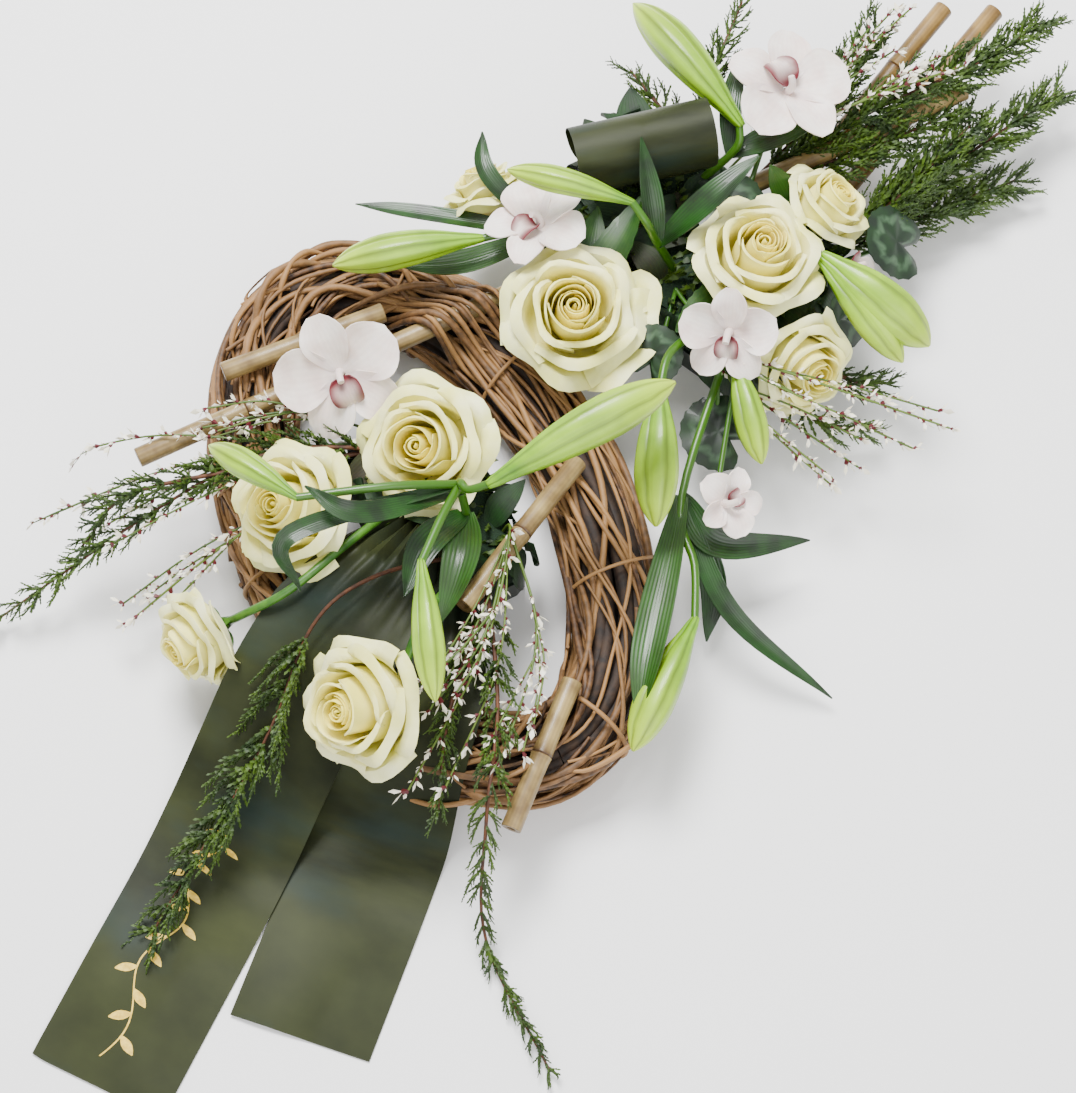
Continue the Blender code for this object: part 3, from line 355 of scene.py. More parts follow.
class Wiring:
    """Adds nodes to a node tree, each with its values, its links and its settings."""

    def __init__(self, tree: bpy.types.NodeTree) -> None:
        """Keep the tree."""
        self.tree = tree

    def socket(self, label: str, way: str, kind: str, default: object = None) -> str:
        """Give the tree a named input or output.

        Args:
            label: Its name.
            way: INPUT or OUTPUT.
            kind: Its type, without the words that all socket types start with.
            default: Its value until one is set.

        Returns:
            Its identifier.
        """
        made = self.tree.interface.new_socket(label, in_out=way, socket_type="NodeSocket" + kind)
        if default is not None:
            made.default_value = default
        return made.identifier

    def node(self, kind: str, inputs: dict[str | int, object] | None = None, **settings: object) -> Node:
        """Add a node.

        Args:
            kind: Its type.
            inputs: A value, or a socket to join, for each input that is set.
            settings: Its options.

        Returns:
            The node.
        """
        made = self.tree.nodes.new(kind)
        for key, value in settings.items():
            setattr(made, key, value)
        self.feed(made, inputs or {})
        return made

    def feed(self, node: Node, inputs: dict[str | int, object]) -> None:
        """Set a node's inputs to values, or join sockets to them."""
        for key, value in inputs.items():
            if isinstance(value, Socket):
                self.tree.links.new(value, node.inputs[key])
            else:
                node.inputs[key].default_value = value

    def maths(self, operation: str, *values: object) -> Socket:
        """Work one value out of others."""
        return self.node("ShaderNodeMath", dict(enumerate(values)), operation=operation).outputs[0]


class NodeTree(Wiring):
    """Base of the geometry node trees: builds one tree, and bakes it on an object."""

    def __init__(self, name: str, sockets: list[tuple[str, str, object]]) -> None:
        """Make the empty tree with its named inputs.

        Args:
            name: The tree's name.
            sockets: Name, type and default value of each input.
        """
        super().__init__(bpy.data.node_groups.new(name, "GeometryNodeTree"))
        self.socket("Geometry", "INPUT", "Geometry")
        self.socket("Geometry", "OUTPUT", "Geometry")
        self.keys = {label: self.socket(label, "INPUT", kind, default) for label, kind, default in sockets}
        self.start, self.end = self.node("NodeGroupInput"), self.node("NodeGroupOutput")
        self.given = self.start.outputs

    def chain(self, *nodes: Node) -> None:
        """Join the first output of each node to the first input of the next, from start to end.

        Args:
            nodes: The nodes between the tree's own input and output.
        """
        row = (self.start, *nodes, self.node("GeometryNodeRealizeInstances"),
               self.node("GeometryNodeSetMaterial", {"Material": self.given["Material"]}), self.end)
        for before, after in zip(row, row[1:]):
            self.feed(after, {0: before.outputs[0]})

    def attribute(self, name: str) -> Socket:
        """Read a named float attribute."""
        return self.node("GeometryNodeInputNamedAttribute", {"Name": name}, data_type="FLOAT").outputs[0]

    def bake(self, source: Piece, name: str, values: dict[str, object]) -> Piece:
        """Run the tree on an object and keep the result as a plain mesh.

        Args:
            source: The object that the tree reads, which is removed.
            name: The finished piece's name.
            values: A value for each named input.

        Returns:
            The finished piece.
        """
        modifier = source.modifiers.new("tree", "NODES")
        modifier.node_group = self.tree
        for label, value in values.items():
            modifier[self.keys[label]] = value
        graph = bpy.context.evaluated_depsgraph_get()
        graph.update()
        mesh = bpy.data.meshes.new_from_object(source.evaluated_get(graph))
        bpy.data.objects.remove(source)
        mesh.name = name
        return place_object(name, mesh)


class TubeTree(NodeTree):
    """Turns polylines into tubes of their own girth: vines, stems and twigs."""

    def __init__(self) -> None:
        """Build the tree."""
        super().__init__("tubes", [("Sides", "Int", 6), ("Material", "Material", None)])
        circle = self.node("GeometryNodeCurvePrimitiveCircle",
                           {"Radius": 1.0, "Resolution": self.given["Sides"]}, mode="RADIUS")
        tube = self.node("GeometryNodeCurveToMesh", {
            "Fill Caps": True, "Scale": self.attribute("girth"), "Profile Curve": circle.outputs["Curve"]})
        self.chain(self.node("GeometryNodeMeshToCurve"), tube, self.node("GeometryNodeSetShadeSmooth"))


class SprigTree(NodeTree):
    """Sets a small unit again and again along polylines: shoots, florets and buds."""

    def __init__(self) -> None:
        """Build the tree."""
        super().__init__("sprigs", [
            ("Unit", "Object", None), ("Spacing", "Float", 0.004), ("Lean", "Float", 0.7),
            ("Turn", "Float", 2.4), ("Turn Spread", "Float", 0.4), ("Size Spread", "Float", 0.25),
            ("Seed", "Int", 1), ("Material", "Material", None)])
        spots = self.node("GeometryNodeCurveToPoints", mode="LENGTH")
        self.feed(spots, {"Length": self.given["Spacing"]})
        unit = self.node("GeometryNodeObjectInfo", {"Object": self.given["Unit"]}, transform_space="ORIGINAL")
        placed = self.node("GeometryNodeInstanceOnPoints", {
            "Instance": unit.outputs["Geometry"], "Rotation": spots.outputs["Rotation"]})
        turned, leaned = (self.node("GeometryNodeRotateInstances", {"Rotation": self.about(axis, angle)})
                          for axis, angle in (("Z", self.turn_angle()), ("X", self.given["Lean"])))
        self.chain(self.node("GeometryNodeMeshToCurve"), spots, placed, turned, leaned,
                   self.node("GeometryNodeScaleInstances", {"Scale": self.size()}))

    def chance(self, step: int) -> Socket:
        """Give a random value from -1 to 1, by the tree's seed and a step of its own."""
        seed = self.maths("ADD", self.given["Seed"], step)
        made = self.node("FunctionNodeRandomValue", {2: -1.0, 3: 1.0, "Seed": seed}, data_type="FLOAT")
        return made.outputs[1]

    def about(self, axis: str, angle: Socket) -> Socket:
        """Make a rotation about one local axis."""
        return self.node("ShaderNodeCombineXYZ", {axis: angle}).outputs[0]

    def turn_angle(self) -> Socket:
        """Give each unit's turn round the line that it grows from."""
        steady = self.maths("MULTIPLY", self.node("GeometryNodeInputIndex").outputs[0], self.given["Turn"])
        return self.maths("ADD", steady, self.maths("MULTIPLY", self.chance(3), self.given["Turn Spread"]))

    def size(self) -> Socket:
        """Give each unit's length, by its reach and the random spread."""
        spread = self.maths("MULTIPLY", self.chance(7), self.given["Size Spread"])
        return self.maths("MULTIPLY", self.maths("ADD", spread, 1.0), self.attribute("reach"))


class SharedGroup(Wiring):
    """A shader node group with named inputs and outputs."""

    def __init__(self, name: str, inputs: list[tuple[str, str, object]],
                 outputs: list[tuple[str, str]]) -> None:
        """Make the empty group.

        Args:
            name: The group's name.
            inputs: Name, type and default value of each input.
            outputs: Name and type of each output.
        """
        super().__init__(bpy.data.node_groups.new(name, "ShaderNodeTree"))
        for label, kind, default in inputs:
            self.socket(label, "INPUT", kind, default)
        for label, kind in outputs:
            self.socket(label, "OUTPUT", kind)
        self.given = self.node("NodeGroupInput").outputs
        self.end = self.node("NodeGroupOutput")


class MottleGroup(SharedGroup):
    """Blends two colours by a noise, and gives its height."""

    def __init__(self) -> None:
        """Build the group."""
        super().__init__("mottle", [
            ("Vector", "Vector", None), ("Scale", "Float", 60.0), ("Low", "Float", 0.35),
            ("High", "Float", 0.65), ("Dark", "Color", (0, 0, 0, 1)), ("Light", "Color", (1, 1, 1, 1))],
            [("Color", "Color"), ("Height", "Float")])
        given = self.given
        noise = self.node("ShaderNodeTexNoise", {
            "Detail": 5.0, "Vector": given["Vector"], "Scale": given["Scale"]}).outputs["Fac"]
        spread = self.node("ShaderNodeMapRange", {
            "Value": noise, "From Min": given["Low"], "From Max": given["High"]})
        blend = self.node("ShaderNodeMix", data_type="RGBA")
        self.feed(blend, {"Factor": spread.outputs["Result"], 6: given["Dark"], 7: given["Light"]})
        self.feed(self.end, {"Color": blend.outputs[2], "Height": noise})


class VeinGroup(SharedGroup):
    """Draws even lines along a UV map, with a wander."""

    def __init__(self) -> None:
        """Build the group."""
        super().__init__("veins", [("UV", "Vector", None), ("Count", "Float", 9.0), ("Wander", "Float", 0.3)],
                         [("Line", "Float")])
        across = self.node("ShaderNodeSeparateXYZ", {0: self.given["UV"]}).outputs["X"]
        noise = self.node("ShaderNodeTexNoise", {"Scale": 6.0, "Vector": self.given["UV"]}).outputs["Fac"]
        shake = self.maths("MULTIPLY", noise, self.given["Wander"])
        lines = self.maths("MULTIPLY_ADD", across, self.given["Count"], shake)
        self.feed(self.end, {"Line": self.maths("PINGPONG", lines, 0.5)})


MOTTLE = MottleGroup().tree
VEINS = VeinGroup().tree


class Blend(Enum):
    """What a finish blends its second colour by."""

    TINT = "tint"
    ALONG = "along"


@dataclass(frozen=True)
class Surface:
    """Base of the finishes: one material, made when it is first asked for.

    Attributes:
        name: Its material's name.
        slot: The record's material slot, which is not used.
        dark: The darker mottled colour, as seen on the screen.
        light: The lighter mottled colour.
    """

    name: str
    slot: str
    dark: Colour
    light: Colour

    def material(self) -> bpy.types.Material:
        """Make the material, or give it if it is made.

        Returns:
            The finish's material.
        """
        found = bpy.data.materials.get(self.name)
        if found:
            return found
        material = bpy.data.materials.new(self.name)
        material.use_nodes = True
        material.diffuse_color = linear(*self.light)
        self.paint(Wiring(material.node_tree), material.node_tree.nodes["Principled BSDF"])
        return material

    def paint(self, wiring: Wiring, shader: Node) -> None:
        """Fill the material in."""
        raise NotImplementedError

    def relieve(self, wiring: Wiring, shader: Node, height: Socket, depth: float) -> None:
        """Raise the surface by a height.

        Args:
            wiring: The material's tree.
            shader: Its shader.
            height: The height, from 0 to 1.
            depth: The bump's depth in millimetres.
        """
        bump = wiring.node("ShaderNodeBump", {"Distance": depth * MM, "Height": height})
        wiring.feed(shader, {"Normal": bump.outputs["Normal"]})


@dataclass(frozen=True)
class Finish(Surface):
    """A finish: two mottled colours, and a third that a mask brings in.

    Attributes:
        accent: The colour that the mask brings in.
        blend: What the mask reads.
        mask: Where the mask starts and is full.
        strength: How far the accent covers.
        scale: The mottling's scale.
        roughness: The surface's roughness.
        veins: How many lines run along the piece.
        vein_width: How wide a line is, up to 0.5.
        vein_and_groove_shade: The shade in a line and beside it.
        relief: The bump's depth in millimetres.
        coat: The clear coat's weight.
        sheen: The sheen's weight.
        subsurface: How far light passes in.
    """

    accent: Colour
    blend: Blend = Blend.TINT
    mask: tuple[float, float] = (0.0, 1.0)
    strength: float = 1.0
    scale: float = 60.0
    roughness: float = 0.5
    veins: float = 0.0
    vein_width: float = 0.5
    vein_and_groove_shade: tuple[float, float] = (0.72, 1.25)
    relief: float = 0.15
    coat: float = 0.0
    sheen: float = 0.0
    subsurface: float = 0.0

    def paint(self, wiring: Wiring, shader: Node) -> None:
        """Fill the material in."""
        wiring.feed(shader, {"Roughness": self.roughness, "Coat Weight": self.coat,
                             "Sheen Weight": self.sheen})
        if self.subsurface:
            wiring.feed(shader, {"Subsurface Weight": self.subsurface, "Subsurface Radius": (1.0, 0.8, 0.4),
                                 "Subsurface Scale": 2.0 * MM})
        where = wiring.node("ShaderNodeTexCoord").outputs
        mottle = wiring.node("ShaderNodeGroup", node_tree=MOTTLE)
        wiring.feed(mottle, {"Scale": self.scale, "Dark": linear(*self.dark), "Light": linear(*self.light),
                             "Vector": where["Object"]})
        colour = self.accented(wiring, where["UV"], mottle.outputs["Color"])
        height = mottle.outputs["Height"]
        if self.veins:
            colour, height = self.veined(wiring, where["UV"], colour)
        self.relieve(wiring, shader, height, self.relief)
        wiring.feed(shader, {"Base Color": colour})

    def accented(self, wiring: Wiring, uv: Socket, colour: Socket) -> Socket:
        """Bring the accent in by the tint, or by the way along the piece."""
        if self.blend is Blend.TINT:
            value = wiring.node("ShaderNodeAttribute", attribute_name="tint").outputs["Fac"]
        else:
            value = wiring.node("ShaderNodeSeparateXYZ", {0: uv}).outputs["Y"]
        spread = wiring.node("ShaderNodeMapRange", {
            "From Min": self.mask[0], "From Max": self.mask[1], "To Max": self.strength, "Value": value})
        blend = wiring.node("ShaderNodeMix", data_type="RGBA")
        wiring.feed(blend, {"Factor": spread.outputs["Result"], 6: colour, 7: linear(*self.accent)})
        return blend.outputs[2]

    def veined(self, wiring: Wiring, uv: Socket, colour: Socket) -> tuple[Socket, Socket]:
        """Multiply the colour in the lines that run along the piece, and beside them, by the finish's two
        values, and give their height too; on the lily bud the lines lie in its grooves and darken them as
        painted shade.
        """
        veins = wiring.node("ShaderNodeGroup", node_tree=VEINS)
        wiring.feed(veins, {"Count": self.veins, "UV": uv})
        soft = wiring.node("ShaderNodeMapRange", {
            "From Max": self.vein_width, "To Min": self.vein_and_groove_shade[0], "To Max": self.vein_and_groove_shade[1],
            "Value": veins.outputs["Line"]}).outputs["Result"]
        shade = wiring.node("ShaderNodeMix", data_type="RGBA", blend_type="MULTIPLY")
        wiring.feed(shade, {"Factor": 1.0, 6: colour, 7: soft})
        return shade.outputs[2], soft


VINE = Finish("vine_bark", "vine", (0.17, 0.1, 0.05), (0.41, 0.28, 0.15), (0.62, 0.46, 0.27),
    mask=(0.1, 1.0), strength=0.85, scale=170.0, roughness=0.62, relief=0.8)
# VINE_SHADE is the vine's colour darkened for the core under the strands that show: painted shade.
VINE_SHADE = Finish("vine_shade", "vine", (0.09, 0.05, 0.03), (0.2, 0.13, 0.07), (0.2, 0.13, 0.07),
    scale=150.0, roughness=0.75, relief=0.6)
FOAM = Finish("wet_foam", "foam", (0.05, 0.12, 0.06), (0.09, 0.19, 0.1), (0.09, 0.19, 0.1),
    scale=900.0, roughness=0.95, relief=0.8)
TRAY = Finish("tray_plastic", "tray", (0.05, 0.1, 0.07), (0.08, 0.14, 0.09), (0.08, 0.14, 0.09),
    scale=700.0, roughness=0.45, relief=0.05)
BAMBOO = Finish("bamboo_khaki", "bamboo", (0.44, 0.35, 0.2), (0.62, 0.53, 0.33), (0.25, 0.15, 0.07),
    mask=(0.2, 1.0), scale=55.0, roughness=0.45, veins=16.0, vein_and_groove_shade=(0.86, 1.06), relief=0.12,
    coat=0.1)
BAMBOO_GOLDEN = replace(BAMBOO, name="bamboo_golden", dark=(0.4, 0.29, 0.13), light=(0.57, 0.45, 0.23),
    accent=(0.28, 0.16, 0.07))
ROSE = Finish("rose_silk", "rose_petal", (0.92, 0.91, 0.55), (0.99, 0.98, 0.74), (1.0, 0.92, 0.2),
    mask=(0.05, 1.0), strength=0.95, scale=38.0, roughness=0.55, relief=0.1, sheen=0.1,
    subsurface=0.25)
ROSE_GREEN = Finish("rose_leaf", "rose_green", (0.14, 0.32, 0.05), (0.27, 0.46, 0.11), (0.05, 0.18, 0.03),
    mask=(0.3, 1.0), strength=0.8, scale=90.0, roughness=0.42, veins=9.0, vein_width=0.2,
    vein_and_groove_shade=(1.25, 0.95), coat=0.1)
# On the lily bud the six lines lie in its grooves and darken them to half: painted shade; beside them the
# lobes are lightened a little as painted highlight.
LILY_BUD = Finish("lily_bud", "lily", (0.3, 0.52, 0.0), (0.5, 0.7, 0.02), (0.76, 0.86, 0.2),
    blend=Blend.ALONG, mask=(0.25, 1.0), strength=0.85, scale=32.0, roughness=0.4, veins=6.0,
    vein_width=0.22, vein_and_groove_shade=(0.5, 1.03), relief=0.8, coat=0.15, subsurface=0.15)
LILY_GREEN = Finish("lily_leaf", "lily", (0.03, 0.13, 0.0), (0.08, 0.25, 0.02), (0.3, 0.52, 0.02),
    mask=(0.2, 1.0), scale=50.0, roughness=0.38, veins=9.0, vein_and_groove_shade=(0.72, 1.2), relief=0.3,
    coat=0.15)
ORCHID = Finish("orchid_petal", "orchid", (0.9, 0.82, 0.79), (0.97, 0.93, 0.9), (0.4, 0.01, 0.1),
    scale=60.0, roughness=0.5, veins=9.0, vein_and_groove_shade=(0.95, 1.01), relief=0.1, sheen=0.15,
    subsurface=0.15)
CYCLAMEN = Finish("cyclamen_leaf", "cyclamen", (0.02, 0.1, 0.03), (0.06, 0.18, 0.05), (0.32, 0.44, 0.32),
    mask=(0.3, 1.0), strength=0.6, scale=70.0, roughness=0.45, coat=0.1)
COVER_LEAF = Finish("cover_leaf", "cyclamen", (0.02, 0.11, 0.015), (0.06, 0.21, 0.03), (0.22, 0.05, 0.03),
    mask=(0.6, 1.0), strength=0.6, scale=60.0, roughness=0.68, veins=8.0, vein_width=0.2,
    vein_and_groove_shade=(1.35, 0.95), relief=0.3)
JUNIPER = Finish("juniper_green", "juniper", (0.09, 0.18, 0.0), (0.25, 0.35, 0.01), (0.44, 0.5, 0.06),
    mask=(0.5, 1.0), strength=0.7, scale=60.0, roughness=0.6)
JUNIPER_TWIG = Finish("juniper_twig", "juniper", (0.22, 0.11, 0.05), (0.36, 0.2, 0.09), (0.14, 0.26, 0.03),
    mask=(0.3, 1.0), scale=160.0, roughness=0.7)
BROOM_STEM = Finish("broom_stem", "broom", (0.1, 0.22, 0.03), (0.25, 0.37, 0.07), (0.34, 0.43, 0.12),
    scale=120.0, roughness=0.5)
BROOM_FLORET = Finish("broom_floret", "broom", (0.93, 0.9, 0.8), (0.98, 0.96, 0.9), (0.33, 0.03, 0.08),
    mask=(0.4, 0.6), scale=200.0, roughness=0.55, subsurface=0.1)
GOLD = Finish("gold_foil", "ribbon", (0.8, 0.66, 0.22), (0.93, 0.8, 0.36), (0.93, 0.8, 0.36),
    scale=300.0, roughness=0.3, relief=0.02)


@dataclass(frozen=True)
class SatinFinish(Surface):
    """Dark satin ribbon: fine lines across it, soft lighter bands along it that are painted sheen, bluish
    bands that are a painted reflection, and a silky highlight.

    Attributes:
        painted_reflection: The bluish colour of some bands.
        lines: How many fine lines lie across it.
        stretch: How the painted sheen and reflection bands are drawn out over the UV map.
    """

    name: str = "satin_ribbon"
    slot: str = "ribbon"
    dark: Colour = (0.09, 0.105, 0.06)
    # light is the painted sheen of the lighter bands; the bluish colour below it paints a reflection in some
    # bands.
    light: Colour = (0.235, 0.255, 0.145)
    painted_reflection: Colour = (0.15, 0.205, 0.195)
    lines: float = 900.0
    stretch: Point = (0.6, 5.0, 1.0)

    def paint(self, wiring: Wiring, shader: Node) -> None:
        """Fill the material in."""
        wiring.feed(shader, {"Roughness": 0.45, "Anisotropic": 0.5, "Specular IOR Level": 0.14})
        uv = wiring.node("ShaderNodeTexCoord").outputs["UV"]
        bands = wiring.node("ShaderNodeMapping", {"Scale": self.stretch, "Vector": uv}).outputs["Vector"]
        # The first mottle paints lighter olive bands along the ribbon as painted sheen; the second lays a
        # bluish painted reflection over some of them.
        mottle, painted_reflection = (wiring.node("ShaderNodeGroup", node_tree=MOTTLE) for _ in range(2))
        wiring.feed(mottle, {"Scale": 1.4, "Low": 0.3, "High": 0.75, "Dark": linear(*self.dark),
                             "Light": linear(*self.light), "Vector": bands})
        wiring.feed(painted_reflection, {"Scale": 0.9, "Low": 0.5, "High": 0.7, "Dark": mottle.outputs["Color"],
                           "Light": linear(*self.painted_reflection), "Vector": bands})
        turned = wiring.node("ShaderNodeMapping", {"Rotation": (0.0, 0.0, math.pi / 2), "Vector": uv})
        weave = wiring.node("ShaderNodeGroup", node_tree=VEINS)
        wiring.feed(weave, {"Count": self.lines, "Wander": 0.0, "UV": turned.outputs["Vector"]})
        self.relieve(wiring, shader, weave.outputs["Line"], 0.03)
        wiring.feed(shader, {"Base Color": painted_reflection.outputs["Color"]})


SATIN = SatinFinish()
TUBES = TubeTree()
SPRIGS = SprigTree()


def eased(value: float, limit: float, margin: float) -> float:
    """Ease a value that nears an upper limit, so that it never passes it."""
    start = limit - margin
    return value if value <= start else limit - margin * math.exp((start - value) / margin)


def keep_inside(piece: Piece, margin: float = 3.0, floor: float = 0.0) -> None:
    """Ease a piece's outermost points back into the CAD model's box.

    Args:
        piece: The piece.
        margin: The band at the box's sides and top in which points are eased, in millimetres.
        floor: The same band over the floor.
    """
    (low, high), edge = CAD_BOX, margin * MM
    for vertex in piece.data.vertices:
        spot = vertex.co
        for k in range(3):
            spot[k] = eased(spot[k], high[k], edge)
        for k in range(2):
            spot[k] = -eased(-spot[k], -low[k], edge)
        if floor:
            spot.z = -eased(-spot.z, -0.4 * MM, floor * MM)


def dress(piece: Piece, finish: Surface, *nodes: str) -> Piece:
    """Give a piece its finish and its place among the bodies, and report it.

    Args:
        piece: The finished piece.
        finish: Its finish.
        nodes: The CAD nodes that it stands for.

    Returns:
        The piece.
    """
    piece.data.materials.clear()
    piece.data.materials.append(finish.material())
    keep_inside(piece)
    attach(piece, "root")
    if nodes:
        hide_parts(*nodes)
    LOG.info("%s: %d faces", piece.name, len(piece.data.polygons))
    return piece


def tubes(lines: Lines, name: str, finish: Finish, *nodes: str, sides: int = 6) -> Piece:
    """Bake polylines into tubes and dress them."""
    made = TUBES.bake(lines.make(name + "_lines"), name, {"Sides": sides, "Material": finish.material()})
    keep_inside(made, floor=1.5)
    return dress(made, finish, *nodes)


@dataclass
class SprigRule:
    """How a unit repeats along lines: spacing in millimetres, angles in radians."""

    spacing: float
    lean: float
    turn: float
    turn_spread: float = 0.4
    size_spread: float = 0.25


def sprigs(lines: Lines, unit: Piece, name: str, finish: Finish, rule: SprigRule,
           seed: int, *nodes: str) -> Piece:
    """Bake a unit's repeats along polylines and dress them.

    Args:
        lines: The polylines, with the units' lengths.
        unit: The unit, one metre long along +Z.
        name: The piece's name.
        finish: The piece's finish.
        rule: How the unit repeats.
        seed: The seed of the random spreads.
        nodes: The CAD nodes that the piece stands for.

    Returns:
        The finished piece.
    """
    made = SPRIGS.bake(lines.make(name + "_lines"), name, {
        "Unit": unit, "Spacing": rule.spacing * MM, "Lean": rule.lean, "Turn": rule.turn,
        "Turn Spread": rule.turn_spread, "Size Spread": rule.size_spread, "Seed": seed,
        "Material": finish.material()})
    keep_inside(made, floor=6.0)
    return dress(made, finish, *nodes)


class Units:
    """The small shapes that the sprig tree repeats, each one metre long along +Z."""

    @staticmethod
    def make(name: str, solids: list[tuple[list[Vector], Faces, float]]) -> Piece:
        """Make a unit from solids with their tints."""
        points, faces, tints = [], [], []
        for solid, solid_faces, tint in solids:
            start = len(points)
            points += solid
            faces += [tuple(start + corner for corner in face) for face in solid_faces]
            tints += [tint] * len(solid)
        return mesh_object(name, points, faces, [(0.5, p.z) for p in points], tints, 60.0)

    @staticmethod
    def cord() -> Piece:
        """Make a scaly juniper shoot: a thin cord whose scales stand out in steps."""
        sides, steps = 3, 4
        points = []
        for i in range(steps):
            for flare, rise in ((0.075, 0.0), (0.135, 0.72)):
                points += [polar(ROUND * k / sides + i * 1.05, flare * (1.0 - 0.5 * i / steps),
                                 (i + rise) / steps * 0.92) for k in range(sides)]
        points += [Vector((0.0, 0.0, -0.02)), Vector((0.0, 0.0, 1.0))]
        rings = 2 * steps
        faces = [face for i in range(rings - 1) for face in girdle(sides, i * sides)]
        for k in range(sides):
            n = (k + 1) % sides
            faces.append((rings * sides, n, k))
            faces.append((rings * sides + 1, (rings - 1) * sides + k, (rings - 1) * sides + n))
        return Units.make("unit_cord", [(points, faces, 0.5)])

    @staticmethod
    def flake(base: Vector, tip: Vector, across: Vector, thick: Vector) -> tuple:
        """Make a flat pointed petal from eight triangles."""
        middle = base.lerp(tip, 0.62)
        points = [base, tip, middle + across, middle + thick, middle - across, middle - thick]
        faces = []
        for k in range(4):
            a, b = 2 + k, 2 + (k + 1) % 4
            faces += [(0, b, a), (1, a, b)]
        return points, faces

    @staticmethod
    def floret(opening: float) -> Piece:
        """Make a small pea flower: a dark calyx, and petals that part by the opening.

        Args:
            opening: 0 for a closed bud, 1 for an open flower.

        Returns:
            The unit.
        """
        solids = []
        calyx = Units.flake(UP * -0.1, UP * 0.5, Vector((0.15, 0, 0)), Vector((0, 0.15, 0)))
        solids.append((*calyx, 1.0))
        opened = ((0.0, 0.5, 0.2), (2.2, 0.34, 0.15), (-2.2, 0.34, 0.15))
        for turn, lean, width in opened if opening else ((0.0, 0.05, 0.17),):
            out = Vector((math.sin(turn), math.cos(turn), 0.0))
            side = Vector((math.cos(turn), -math.sin(turn), 0.0))
            tip = Vector((0, 0, 1.0)) + out * (lean * opening)
            thick = out * (0.05 + 0.09 * (1.0 - opening))
            solids.append((*Units.flake(Vector((0, 0, 0.25)), tip, side * width, thick), 0.0))
        return Units.make("unit_floret", solids)


LONG_STICK = ((-192, -93, 79), (93, 507, 65))
STICK_RADIUS = 7.5


